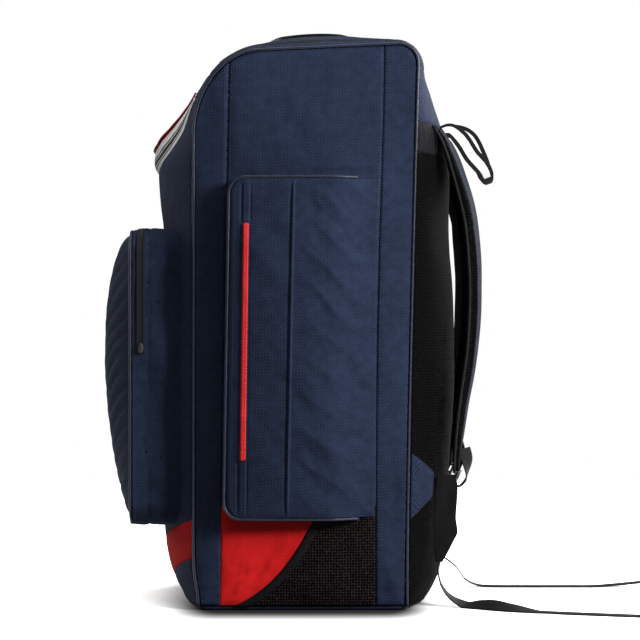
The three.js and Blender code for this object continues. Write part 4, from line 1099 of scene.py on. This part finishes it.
def front_y(x, z):
    return on_skin(front_at(z), x, 0 * x)[..., 1]


gusset_rows = 30
i = np.linspace(0, 1, gusset_rows + 1)[:, None]
root = front_y(gusset_loop[:, 0], gusset_loop[:, 1]) - 2.2 * ease
gusset_y = root + (-pocket_reach + pipe + gap - root) * i
gusset_run = np.linspace(0, 1, len(gusset_loop)) * 1.34
sag = np.sin(math.pi * np.clip(i, 0, 1)) ** 0.8
gusset_wave = 0.006 * rumple(gusset_run + 0 * i, gusset_y, 0.06, 53, 0.9, 2.0) * sag
gusset_wave = gusset_wave + 0.0035 * rumple(gusset_run + 0 * i, gusset_y, 0.024, 57, -0.5, 2.2) * sag
gusset_wave = gusset_wave - 0.002 * np.exp(-np.abs(gusset_y + pocket_reach - 0.026) / 0.003)


def off_loop(loop, out, depth, y):
    return xyz(loop[..., 0] + out[..., 0] * depth, y, loop[..., 1] + out[..., 1] * depth)


gusset_points = off_loop(gusset_loop, gusset_out, gusset_wave, gusset_y)
gusset_inner = off_loop(gusset_loop, gusset_out, -cloth, gusset_y)
closing = np.concatenate([np.arange(len(gusset_loop)), [0]])
gusset_uv = np.stack([gusset_run + 0 * i, gusset_y], axis=-1)
gusset_uv = np.concatenate([gusset_uv, gusset_uv[:, -1:] + (0.003, 0)], axis=1)
gusset = shell("pocket_gusset_cloth", gusset_points[:, closing], gusset_uv,
               inner_points=gusset_inner[:, closing])
dress(gusset, navy_cloth, "navy_cloth", "pocket_gusset")


def weld(piece):
    shape = bmesh.new()
    shape.from_mesh(piece.data)
    bmesh.ops.remove_doubles(shape, verts=shape.verts, dist=0.00001)
    seen = {}
    for face in list(shape.faces):
        key = tuple(sorted(v.index for v in face.verts))
        seen.setdefault(key, []).append(face)
    doubled = [face for faces in seen.values() if len(faces) > 1 for face in faces]
    bmesh.ops.delete(shape, geom=doubled, context="FACES")
    bmesh.ops.recalc_face_normals(shape, faces=shape.faces)
    shape.to_mesh(piece.data)
    shape.free()
    piece.data.update()


weld(gusset)
pipe_path = off_loop(gusset_loop, gusset_out, -pipe, -pocket_reach)
pipe_out = off_loop(0 * gusset_out, gusset_out, 1, 0)
dress(tube("pocket_cord", pipe_path, pipe, True, out=pipe_out), piping_finish, "piping", "pocket_piping")

face_inset = 2 * pipe + 2 * gap
face_half = pocket_half - face_inset
face_corner = pocket_corner - face_inset
face_foot = pocket_foot + face_inset
face_head = pocket_head - face_inset


def quilt(x, z):
    place = (z - 0.62 * np.abs(x) + 0.012 * value_noise(x / 0.05, z / 0.06, 67)) / 0.027
    pillow = np.abs(np.sin(math.pi * place)) ** 0.7
    uneven = 0.6 + 0.8 * (value_noise(place * 0.7, np.abs(x) / 0.03, 68) + 0.5)
    return 0.0042 * (pillow - 0.7) * uneven * smooth_step((np.abs(x) - 0.02) / 0.05)


i, j = steps(191, 97)
z = face_foot + (face_head - face_foot) * (1 - np.cos(math.pi * i)) / 2
end = np.minimum(np.minimum(z - face_foot, face_head - z), face_corner)
half = face_half - face_corner + np.sqrt(np.maximum(face_corner ** 2 - (face_corner - end) ** 2, 0))
x = half * (2 * j - 1)
z = z + 0 * x
up = np.clip((z - face_foot) / (face_head - face_foot), 0, 1)
dome = np.maximum(np.sin(math.pi * up ** 1.3), 0) ** 0.4
bulge = pocket_fullness * np.maximum(dome, 0) * (1 - np.abs(x / half) ** 2.6)
edge = np.minimum(half - np.abs(x), np.minimum(z - face_foot, face_head - z))
fade = 1 - np.exp(-np.maximum(edge, 0) / 0.025)
crease = quilt(x, z) + 0.002 * rumple(x, z, 0.08, 61, 0.8, 2.0)
points = np.stack([x, -pocket_reach - bulge - crease * fade + 0.001 * np.exp(-edge / 0.003), z], axis=-1)
inner_points = points + np.array([0, cloth, 0])
face = shell("pocket_face_cloth", points, np.stack([x, z], axis=-1), inner_points=inner_points)
dress(face, navy_cloth, "navy_cloth", "pocket_face")

zip_reach = 0.181
zip_foot = pocket_head - zip_reach
on_sides = gusset_loop[:, 1] > zip_foot
zip_index = sorted(np.flatnonzero(on_sides),
                   key=lambda k: math.atan2(gusset_loop[k, 1] - zip_foot + 0.2, gusset_loop[k, 0]))
zip_place = gusset_loop[zip_index]
zip_out = gusset_out[zip_index]
profile = np.array([(0, 0.9), (0.08, 1.5), (0.3, 1.6), (0.34, 1.0), (0.42, 1.1), (0.5, 1.5), (0.58, 1.1),
                    (0.66, 1.0), (0.7, 1.6), (0.92, 1.5), (1, 0.9)])
profile_y = -pocket_reach + 0.009 + 0.013 * profile[:, 0]
lift = ease + 0.0002 + 0.001 * profile[:, 1]
points = off_loop(zip_place[:, None], zip_out[:, None], lift, profile_y)
inner_points = off_loop(zip_place[:, None], zip_out[:, None], ease, profile_y)
run = np.linspace(0, 0.6, len(zip_place))[:, None]
uv = np.stack([profile_y + 0 * run, run + 0 * profile_y], axis=-1)
coil = points[:, 5] - off_loop(0 * zip_out, zip_out, 1, 0) * 0.0002
rod_row("pocket_zip_coil", coil, np.tile((0, 1, 0), (len(coil), 1)), coil_spacing, coil_length,
        coil_radius, black_thread)
zip_tape = shell("pocket_zip_tape", points, uv, inner_points=inner_points)
weld(zip_tape)
dress(zip_tape, zip_finish, "zip_tape", "pocket_zip")
low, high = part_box("pocket_slider")
slider_on("pocket_zip_runner", (np.array(low) + np.array(high)) / 2, (0, 0, 1), (1, 0, 0),
          0.014, 0.008, 0.003, "pocket_slider")

# The side pockets: a padded pocket on each side, sewn flush into the back seam and standing
# off on its other three sides, with piping on that edge and a red zip down the front of it.
side_front_top = -0.107
side_front_foot = -0.114
side_depth = 0.019
side_full = 0.011
side_corner = 0.026
side_ramp = 0.070
red_zip_foot = 0.219
red_zip_head = 0.555
red_zip_width = 0.008
red_zip_inset = 0.028
red_coil_length = 0.0034


def rear_edge(z):
    return back_seam(z) - 0.002


def pocket_stand(y, z):
    off = smooth_step((rear_edge(z) - y) / side_ramp)
    up = np.clip((z - side_foot) / side_height, 0, 1)
    across = np.clip((y - side_front_foot) / (rear_edge(z) - side_front_foot), 0, 1)
    bulge = np.maximum(np.sin(math.pi * up), 0) ** 0.6 * np.sin(math.pi * across)
    return side_x(y, z) + ease + cloth + side_depth * off + side_full * bulge


def pocket_edge(z, offset):
    foot = side_foot + offset
    head = side_head - offset
    lean = side_front_foot + (side_front_top - side_front_foot) * (z - foot) / (head - foot)
    turn = side_corner - offset
    end = np.clip(np.minimum(z - foot, head - z), 0, turn)
    return lean + offset + turn - np.sqrt(np.maximum(turn ** 2 - (turn - end) ** 2, 0))


def zip_line(z):
    lean = (side_front_top - side_front_foot) * (z - side_foot) / side_height
    return side_front_foot + lean + red_zip_inset


def side_creases(y, z, seed):
    line = y + 0.019 - (z - 0.28) * 0.02
    fold = 0.0028 * np.exp(-(line / 0.0017) ** 2) - 0.0016 * np.exp(-((line + 0.0035) / 0.0014) ** 2)
    beside = y - zip_line(z)
    welt = 0.0014 * smooth_step((0.0052 - np.abs(beside)) / 0.0014)
    welt = welt - 0.0024 * np.exp(-((beside + 0.0068) / 0.0016) ** 2)
    welt = welt - 0.0012 * np.exp(-((beside - 0.0062) / 0.0012) ** 2)
    past_zip = smooth_step(np.abs(z - 0.387) / 0.006 - 28)
    right = smooth_step((line - 0.004) / 0.03)
    soft = 0.0045 * rumple(y, z, 0.07, seed, 0.75, 2.6) + 0.003 * rumple(y, z, 0.028, seed + 9, 0.62, 3.2)
    swing = (z + 0.75 * y) / 0.052 + 0.7 * value_noise(y / 0.09, z / 0.09, seed + 4)
    drapes = 0.0022 * (1 - np.abs(np.sin(math.pi * swing)) ** 0.6)
    pleats = np.sin(z / 0.0052 + 2 * value_noise(z / 0.05, 0 * z, seed))
    pleats = 0.0018 * np.exp(-(np.abs(y - rear_edge(z)) / 0.016) ** 2) * pleats
    return fold + welt * (0.35 + 0.65 * past_zip) + soft * (0.45 + 0.55 * right) + drapes * right + pleats


free_angle = np.radians(np.linspace(-90, -180, 16))
head_angle = np.radians(np.linspace(180, 90, 16))
free_end = rear_edge(side_foot) - side_ramp / 3
foot_centre = np.array([side_front_foot + side_corner, side_foot + side_corner])
head_centre = np.array([side_front_top + side_corner, side_head - side_corner])
free_route = np.vstack([
    [(free_end, side_foot)],
    foot_centre + side_corner * np.column_stack([np.cos(free_angle), np.sin(free_angle)]),
    head_centre + side_corner * np.column_stack([np.cos(head_angle), np.sin(head_angle)]),
    [(free_end, side_head)],
])
free_route = even(free_route, 300, closed=False)
free_tangent = unit(np.gradient(free_route, axis=0))
free_out = np.column_stack([-free_tangent[:, 1], free_tangent[:, 0]])

for label, sign, seed in (("right", 1, 83), ("left", -1, 97)):
    offset = 2 * pipe + gap
    i = np.linspace(0, 1, 171)[:, None]
    j = np.concatenate([np.linspace(0, 1, 71), np.linspace(0.055, 0.165, 28), np.linspace(0.38, 0.45, 18)])
    j = np.unique(np.round(j, 5))[None, :]
    foot = side_foot + offset
    head = side_head - offset
    z = foot + (head - foot) * (1 - np.cos(math.pi * i)) / 2 + 0 * j
    y0 = pocket_edge(z, offset)
    y1 = rear_edge(z)
    y = y0 + (y1 - y0) * j
    edge = np.minimum(np.minimum(y - y0, y1 - y), np.minimum(z - foot, head - z))
    fade = 1 - np.exp(-np.maximum(edge, 0) / 0.02)
    dip = 0.001 * np.exp(-np.maximum(edge, 0) / 0.003)
    x = pocket_stand(y, z) + side_creases(y, z, seed) * fade - dip
    points = xyz(x, y, z)
    for row_name, column in (("stitch", 2), ("rear_stitch", -2)):
        stitches(f"side_pocket_{row_name}_{label}", points[6:-6, column] * (sign, 1, 1), (sign, 0, 0),
                 navy_thread)
    side_shell(f"side_pocket_cloth_{label}", sign, points, points - np.array([cloth, 0, 0]),
               navy_cloth, "navy_cloth", f"side_pocket_face_{label}")

    low = side_x(free_route[:, 0], free_route[:, 1]) + ease
    top = pocket_stand(free_route[:, 0], free_route[:, 1]) - pipe - cloth / 2 - gap
    k = np.linspace(0, 1, 9)
    x = low[:, None] + (np.maximum(top, low + 0.001) - low)[:, None] * k
    free_run = np.linspace(0, 0.9, 300)[:, None]
    crumple = 0.0012 * rumple(free_run + 0 * k, x, 0.02, seed + 3) * np.sin(math.pi * k)
    outer, inner = (
        xyz(x, free_route[:, :1] + free_out[:, :1] * depth, free_route[:, 1:] + free_out[:, 1:] * depth)
        for depth in (crumple, -cloth)
    )
    uv = np.stack([x, free_run + 0 * x], axis=-1)
    piece = shell(f"side_gusset_cloth_{label}", to_side(outer, sign), uv, inner_points=to_side(inner, sign))
    weld(piece)
    dress(piece, navy_cloth, "navy_cloth", f"side_pocket_gusset_{label}")

    stand = pocket_stand(free_route[:, 0], free_route[:, 1]) - cloth / 2
    path = xyz(sign * stand, *(free_route - free_out * pipe).T)
    dress(tube(f"side_pocket_cord_{label}", path, pipe, False, out=xyz(0, *free_out.T)),
          piping_finish, "piping", f"side_pocket_piping_{label}")

    z = np.linspace(red_zip_foot, red_zip_head, 140)[:, None]
    k = np.linspace(0, 1, 9)[None, :]
    y = zip_line(z) - red_zip_width / 2 + red_zip_width * k
    lift = ease + 0.0016 * (1 - 0.5 * (2 * k - 1) ** 6) - 0.0006 * np.exp(-((k - 0.5) / 0.12) ** 2)
    under = pocket_stand(y, z) + np.maximum(side_creases(y, z, seed), 0)
    points = xyz(under + lift, y, z)
    inner_points = xyz(under + ease, y, z)
    coil = to_side(points, sign)[:, 4] + (0.0003 * sign, 0, 0)
    rod_row(f"red_zip_coil_{label}", coil, np.tile((0, 1, 0), (len(coil), 1)), coil_spacing,
            red_coil_length, coil_radius, red_coil)
    side_shell(f"red_zip_{label}", sign, points, inner_points, red_piping, "red_tape",
               f"side_pocket_zip_{label}")

# The haul loop: a hairpin of wide webbing sewn to the top of the back, black at its edges and
# grey along its middle, that falls open to its tip.


def ribbon(name, centre, across, width, thickness, columns=12, roll=0.3, bow=0.0):
    centre = np.asarray(centre)
    across = np.asarray(across) + 0 * centre
    along = unit(np.gradient(centre, axis=0))
    across = unit(across - along * np.sum(across * along, axis=1, keepdims=True))
    out = np.cross(along, across)
    run = run_along(centre)
    j = np.linspace(-1, 1, columns + 1)
    half = np.asarray(width) / 2 * np.ones(len(centre))
    thick = thickness / 2 * (1 - roll * j ** 8)
    lift = thick + bow * (1 - j ** 2)
    base = centre[:, None] + across[:, None] * (half[:, None] * j)[..., None]
    points = base + out[:, None] * lift[:, None]
    inner_points = base - out[:, None] * (thick - bow * (1 - j ** 2))[:, None]
    uv = np.stack([half[:, None] * (j + 1), run[:, None] + 0 * j], axis=-1)
    return shell(name, points[:, ::-1], uv[:, ::-1], inner_points=inner_points[:, ::-1])


def spline(points, count):
    points = np.asarray(points, dtype=float)
    padded = np.vstack([2 * points[0] - points[1], points, 2 * points[-1] - points[-2]])
    out = []
    for k in range(len(points) - 1):
        a, b, c, d = padded[k:k + 4]
        ab = max(np.linalg.norm(b - a), 1e-9) ** 0.5
        bc = max(np.linalg.norm(c - b), 1e-9) ** 0.5
        cd = max(np.linalg.norm(d - c), 1e-9) ** 0.5
        start = ((b - a) / ab - (c - a) / (ab + bc) + (c - b) / bc) * bc
        finish = ((c - b) / bc - (d - b) / (bc + cd) + (d - c) / cd) * bc
        t = np.linspace(0, 1, 24, endpoint=False)[:, None]
        out.append((2 * t ** 3 - 3 * t ** 2 + 1) * b + (t ** 3 - 2 * t ** 2 + t) * start
                   + (-2 * t ** 3 + 3 * t ** 2) * c + (t ** 3 - t ** 2) * finish)
    out.append(points[-1:])
    return even(np.vstack(out), count, closed=False)


haul_span = 0.070
haul_height = 0.702
haul_reach = 0.076
haul_skew = 0.007
haul_root = on_skin(back_at(haul_height), haul_span / 2, ease)
haul_table = np.array([
    (0, 0, 0), (0.2, 0.26, -0.05), (0.4, 0.53, 0.12), (0.6, 0.72, 0.43), (0.8, 0.88, 0.7), (1, 1, 1),
])


def haul_point(where):
    return (haul_root[1] + haul_reach * smooth_read(haul_table, 1, where),
            haul_root[2] - haul_reach * smooth_read(haul_table, 2, where))


side = np.linspace(-1, 1, 121)
where = 1 - np.abs(side) ** 1.7
y, z = haul_point(where)
y_before, z_before = haul_point(np.maximum(where - 0.03, 0))
y_after, z_after = haul_point(np.minimum(where + 0.03, 1))
turn = np.sin(side * math.pi / 2)
sag = haul_skew * turn * np.sin(math.pi * where) ** 2
centre = xyz(haul_span / 2 * turn, y - sag, z - sag)
wide = xyz(0, z_before - z_after, y_after - y_before)
haul_width = 0.001 * np.interp(where, [0, 0.15, 0.35, 0.75, 0.9, 0.97, 1], [15, 19, 25, 26, 22, 16, 10])
haul_rows = 120
haul_columns = 40
haul = ribbon("haul_loop_webbing", centre, wide, haul_width, webbing, columns=haul_columns)
dress(haul, grey_webbing, "grey_webbing", "haul_loop")
haul.data.materials.append(black_webbing)
haul_tip = np.repeat(where[:-1] > 0.93, haul_columns)
haul_edge = np.tile((np.arange(haul_columns) < 10) | (np.arange(haul_columns) > 29), haul_rows)
haul_slots = np.ones(len(haul.data.polygons), dtype=np.int32)
haul_slots[:2 * haul_rows * haul_columns] = np.tile(haul_tip | haul_edge, 2)
haul.data.polygons.foreach_set("material_index", haul_slots)

# The shoulder straps: foam pads in navy cloth with black mesh towards the wearer, swelled by
# cloth simulation and bound at the edges, hanging from the top of the back to a ladder lock.
strap_top = 0.703
strap_foot = 0.193
strap_length = strap_top - strap_foot
strap_spacing = 0.170
strap_width = 0.075
strap_thickness = 0.020
strap_stand = 0.100
strap_lean = 0.28
seat_y = on_skin(back_at(strap_top), strap_spacing / 2, 0.0)[1]
strap_seat = seat_y - back_reach + ease + 0.16 * strap_thickness + strap_lean * 0.7 * strap_width / 2
strap_table = np.array([
    (0, strap_seat / strap_stand, 0.7, 0.16), (0.04, 0.56, 0.85, 0.3), (0.08, 0.68, 1, 0.5),
    (0.14, 0.8, 1, 0.8), (0.21, 0.91, 1, 1), (0.28, 0.98, 1, 1), (0.38, 1.02, 1, 1),
    (0.47, 1.03, 1, 1), (0.56, 1.01, 1, 1), (0.65, 0.97, 1, 1), (0.73, 0.9, 1, 0.95),
    (0.81, 0.82, 0.95, 0.85), (0.88, 0.75, 0.85, 0.7), (0.95, 0.68, 0.65, 0.5), (1, 0.64, 0.48, 0.3),
])
# The straps' navy is a darker copy of the navy polyester: painted shade, because the straps face the key
# light more than the sides do.
strap_cloth_painted_shade = cloth_finish("strap_polyester_painted_shade", (0.0009, 0.0015, 0.004), (0.009, 0.0125, 0.026), 0.0044)


def strap_frame(t, sign):
    t = np.atleast_1d(t)

    def reach(where):
        return back_reach + strap_stand * smooth_read(strap_table, 1, np.clip(where, 0, 1))

    along = unit(xyz(0, reach(t + 0.01) - reach(t - 0.01), -0.02 * strap_length))
    lean = strap_lean * (1 - 0.5 * t)
    across = unit(xyz(sign, -lean, 0))
    width = strap_width * smooth_read(strap_table, 2, t)
    depth = strap_thickness * smooth_read(strap_table, 3, t)
    face = xyz(0, -along[:, 2], along[:, 1])
    centre = xyz(sign * strap_spacing / 2, reach(t) - lean * width / 2, strap_top - strap_length * t)
    return centre - face * (depth / 2)[:, None], across, face, width, depth


def swell(piece, pressure, cap):
    data = piece.data
    scene = bpy.context.scene
    remesh = piece.modifiers.new("remesh", "REMESH")
    remesh.mode = "VOXEL"
    remesh.voxel_size = 0.004
    remesh.use_smooth_shade = True
    made = bpy.data.meshes.new_from_object(piece.evaluated_get(bpy.context.evaluated_depsgraph_get()))
    piece.modifiers.remove(remesh)
    piece.data = made
    start = read_all(made.vertices, "co", 3)
    stuffing = piece.modifiers.new("stuffing", "CLOTH")
    stuffing.settings.use_pressure = True
    stuffing.settings.uniform_pressure_force = pressure
    stuffing.settings.effector_weights.gravity = 0
    stuffing.settings.quality = 5
    stuffing.point_cache.frame_start = 1
    stuffing.point_cache.frame_end = 20
    for step_frame in range(1, 21):
        scene.frame_set(step_frame)
    done = piece.evaluated_get(bpy.context.evaluated_depsgraph_get()).to_mesh()
    end = read_all(done.vertices, "co", 3)
    piece.modifiers.remove(stuffing)
    scene.frame_set(1)
    move = end - start
    far = np.linalg.norm(move, axis=1, keepdims=True)
    move = move * np.minimum(1, cap / np.maximum(far, 1e-9))
    made.vertices.foreach_set("co", (start + move).ravel())
    made.update()
    bpy.data.meshes.remove(data)
    return made


def strap_uv(piece, sign):
    data = piece.data
    points = read_all(data.vertices, "co", 3)
    layer = data.uv_layers.new(name="cloth") if not data.uv_layers else data.uv_layers[0]
    layer.name = "cloth"
    corner = read_all(data.loops, "vertex_index", 1, np.int32)[:, 0]
    layer.data.foreach_set("uv", points[corner][:, [0, 2]].ravel())
    data.materials.clear()
    data.materials.append(strap_cloth_painted_shade)
    data.materials.append(black_mesh)
    normals = read_all(data.polygons, "normal", 3)
    centres = read_all(data.polygons, "center", 3)
    middle, across, _, width, _ = strap_frame(np.clip((strap_top - centres[:, 2]) / strap_length, 0, 1), sign)
    beside = np.abs(np.sum((centres - middle) * across, axis=1)) > width / 2 - 0.016
    inward = (normals[:, 1] < 0.2) | beside
    data.polygons.foreach_set("material_index", inward.astype(np.int32))
    data.polygons.foreach_set("use_smooth", [True] * len(normals))
    data.update()


section_angle = np.linspace(0, 2 * math.pi, 24, endpoint=False)
section_wide = np.sign(np.cos(section_angle)) * np.abs(np.cos(section_angle)) ** 0.5
section_deep = np.sign(np.sin(section_angle)) * np.abs(np.sin(section_angle)) ** 0.7

for label, sign in (("right", 1), ("left", -1)):
    t = np.linspace(0, 1, 150)
    centre, across, face, width, depth = strap_frame(t, sign)
    ripple = 1 + 0.04 * np.sin(2 * math.pi * t / 0.17 + (0 if sign > 0 else 1.5)) * np.clip(t * 6, 0, 1)
    ring = across[:, None] * (section_wide[None, :, None] * (width / 2 - 0.002)[:, None, None])
    ring = ring + face[:, None] * (section_deep[None, :, None] * (0.8 * ripple * depth / 2)[:, None, None])
    points = centre[:, None] + ring
    index = np.arange(150 * 24).reshape(150, 24)
    flat = ring_faces(index[:-1], index[1:]) + [tuple(index[0][::-1]), tuple(index[-1])]
    piece = mesh_piece(f"strap_pad_{label}", points.reshape(-1, 3), flat)
    weld(piece)
    piece.data = swell(piece, 4, 0.003)
    strap_uv(piece, sign)
    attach(piece, "root")
    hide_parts(f"shoulder_strap_{label}")
    for edge_name, edge_sign in (("inner", -1), ("outer", 1)):
        path = centre + across * edge_sign * (width / 2 - 0.0015)[:, None]
        bound = tube(f"strap_edge_{edge_name}_{label}", path, 0.0024, False, 8, across)
        bound.data.materials.append(black_webbing)
        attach(bound, "root")

# The foot of each strap: a moulded ladder lock with two slots, and the webbing that comes from
# the back through its lower slot and stands up behind it with its loose end.
lock_width = 0.036
lock_length = 0.030
lock_thickness = 0.004
lock_bar = 0.005
slot_length = (lock_length - 3 * lock_bar) / 2
slide_width = 0.025
lock_drop = np.array([0, -0.42, -0.91])
lock_out = np.array([0, 0.91, -0.42])
anchor_foot = 0.132
anchor_height = 0.093
anchor_tip = 0.034
anchor_reach = 0.052
anchor_middle = anchor_foot + anchor_height / 2
wing_x = panel_half - gap - anchor_reach - gap


def bar(points, faces, start, end, out, wide, deep, swell_mid=1.0):
    along = end - start
    length = np.linalg.norm(along)
    along = along / length
    cross_axis = np.cross(along, out)
    index = len(points) + np.arange(50).reshape(5, 10)
    for share in (0, 0.25, 0.5, 0.75, 1):
        grown = 1 + (swell_mid - 1) * math.sin(math.pi * share)
        for turn in range(10):
            a = 2 * math.pi * turn / 10
            offset = cross_axis * math.copysign(abs(math.cos(a)) ** 0.6, math.cos(a)) * wide / 2 * grown
            offset = offset + out * math.copysign(abs(math.sin(a)) ** 0.6, math.sin(a)) * deep / 2 * grown
            points.append(start + along * length * share + offset)
    faces += ring_faces(index[:-1], index[1:]) + [tuple(index[0][::-1]), tuple(index[-1])]


webbing_loop = [(-0.009, 0), (0, 0), (0.008, 0), (0.013, -0.012), (0.004, -0.038), (-0.008, -0.054)]
for label, sign in (("right", 1), ("left", -1)):
    centre, across, face, width, depth = strap_frame(1.0, sign)
    wide = across[0] * sign
    middle = centre[0] + lock_out * (depth[0] / 2 + lock_thickness / 2 + gap)
    middle = middle + lock_drop * (lock_length / 2 - lock_bar)
    out = unit(np.cross(wide, lock_drop))
    drop = np.cross(out, wide)
    points = []
    faces = []
    half_w = (lock_width - lock_bar) / 2
    half_l = (lock_length - lock_bar) / 2
    for beside in (-1, 1):
        rail = middle + wide * half_w * beside
        bar(points, faces, rail - drop * lock_length / 2, rail + drop * lock_length / 2, out, lock_bar,
            lock_thickness)
    for share in (-1, 0, 1):
        bar(points, faces, middle - wide * half_w + drop * half_l * share,
            middle + wide * half_w + drop * half_l * share, out, lock_bar * 0.95, lock_thickness * 0.9, 0.85)
    lock = mesh_piece(f"ladder_lock_frame_{label}", points, faces)
    weld(lock)
    dress(lock, plastic, "buckle_plastic", f"ladder_lock_{label}")

    slot_at = middle + lock_drop * (lock_bar + slot_length) / 2
    seat_x = wing_x - 0.003 - slide_width / 2 - 3 * gap
    seat = on_skin(back_at(anchor_middle), seat_x - slide_width / 2, 5 * ease + webbing)
    route = [np.array([sign * seat_x, seat[1], seat[2] - 0.012]),
             np.array([sign * seat_x, seat[1] + 0.003, seat[2] - 0.005])]
    route += [slot_at + lock_out * a + lock_drop * b for a, b in webbing_loop]
    path = spline(route, 120)
    twist = 0.95 * smooth_step((np.linspace(0, 1, 120) - 0.45) / 0.4)[:, None]
    flat_way = np.array([sign, 0, 0]) * np.cos(twist) + np.array([0, -0.6, -0.8]) * np.sin(twist)
    strip = ribbon(f"slide_webbing_{label}", path, flat_way, slide_width, webbing, bow=0.0004)
    dress(strip, black_webbing, "black_webbing", f"strap_webbing_{label}")

# The waist: on each side a navy cloth triangle sewn in at the side piping, a soft black wing
# that hangs from it, and a loose tail of belt webbing that runs out over the floor.
wing_table = np.array([
    (0, 0.62, 0.95), (0.12, 0.6, 1.02), (0.3, 0.58, 1.01), (0.5, 0.57, 0.99), (0.66, 0.56, 1.02),
    (0.75, 0.56, 0.95), (0.9, 0.57, 0.82), (1, 0.6, 0.72),
])
wing_height = 0.128
wing_reach = 0.075
wing_thickness = 0.003
wing_top = anchor_middle + anchor_tip / 2 - 0.004
wing_base = back_reach - back_foot_in
tail_routes = {
    "right": [(108, 199, 62.5, 0.1), (110, 198, 50, 0.1), (114, 203, 30, 0.35), (122, 215, 15, 0.5),
              (133, 234, 5, 0.3), (148, 257, 1.1, 0), (169, 290, 0.9, 0), (190, 345, 0.9, 0),
              (210, 410, 0.9, 0), (232, 490, 0.9, 0)],
    "left": [(-108, 199, 62, 0), (-107, 209, 54, 0), (-104, 238, 32, 0), (-104, 252, 13, 0),
             (-105, 271, 3.5, 0), (-105, 308, 1.1, 0), (-105, 360, 0.9, 0), (-105, 416, 0.9, 0),
             (-105, 460, 1.6, 0), (-105, 541, 9, 0)],
}
for label, sign, seed in (("right", 1, 131), ("left", -1, 151)):
    i, j = steps(41, 41)
    x = panel_half - gap - i * anchor_reach + 0 * j
    low = anchor_foot + i * (anchor_height - anchor_tip) / 2
    tall = anchor_height + (anchor_tip - anchor_height) * i
    z = low + j * tall
    edge = np.minimum(np.minimum(j, 1 - j) * tall, np.minimum(i, 1 - i) * anchor_reach)
    pad = 0.003 + 0.0015 * (1 - np.exp(-edge / 0.006)) + 0.001 * rumple(x, z, 0.03, seed)
    pad = pad - 0.0012 * np.exp(-((edge - 0.004) / 0.001) ** 2)
    points = on_skin(back_at(z), x, ease + pad)
    inner_points = on_skin(back_at(z), x, ease + 0 * pad)
    if sign < 0:
        points = points * (-1, 1, 1)
        inner_points = inner_points * (-1, 1, 1)
    else:
        points = points[:, ::-1]
        inner_points = inner_points[:, ::-1]
    piece = shell(f"anchor_cloth_{label}", points[::-1], np.stack([x, z], axis=-1),
                  inner_points=inner_points[::-1])
    dress(piece, navy_cloth, "navy_cloth", f"anchor_wing_{label}")

    i, j = steps(81, 31)
    front = wing_base + wing_reach * smooth_read(wing_table, 1, i)
    back = wing_base + wing_reach * smooth_read(wing_table, 2, i)
    y = front + (back - front) * j
    z = wing_top - wing_height * i + 0 * j
    fold = 0.0012 * np.sin(math.pi * j) * np.sin(7 * i + 3 * j + sign) + 0.0008 * rumple(y, z, 0.02, seed + 7)
    x = wing_x + fold
    points = to_side(xyz(x, y, z), sign)
    piece = shell(f"waist_wing_cloth_{label}", points, points[..., 1:],
                  inner_points=points - (wing_thickness * sign, 0, 0))
    dress(piece, black_cloth, "black_cloth", f"waist_wing_{label}")

    rows = np.array(tail_routes[label])
    path = spline(rows[:, :3] / 1000, 260)
    turn = smooth_read(np.column_stack([np.linspace(0, 1, len(rows)), rows[:, 3]]), 1, np.linspace(0, 1, 260))
    along = unit(np.gradient(path, axis=0))
    wide = unit(np.array([1.0, 0, 0]) - along * along[:, :1])
    other = np.cross(along, wide)
    wide = wide * np.cos(turn)[:, None] + other * np.sin(turn)[:, None]
    reach = np.abs(wide[:, 2]) * slide_width + np.abs(np.cross(along, wide)[:, 2]) * webbing
    path[:, 2] = np.maximum(path[:, 2], reach / 2 + 0.0002)
    strip = ribbon(f"belt_tail_{label}", path, wide, slide_width, webbing)
    dress(strip, black_webbing, "black_webbing", f"waist_tail_{label}")
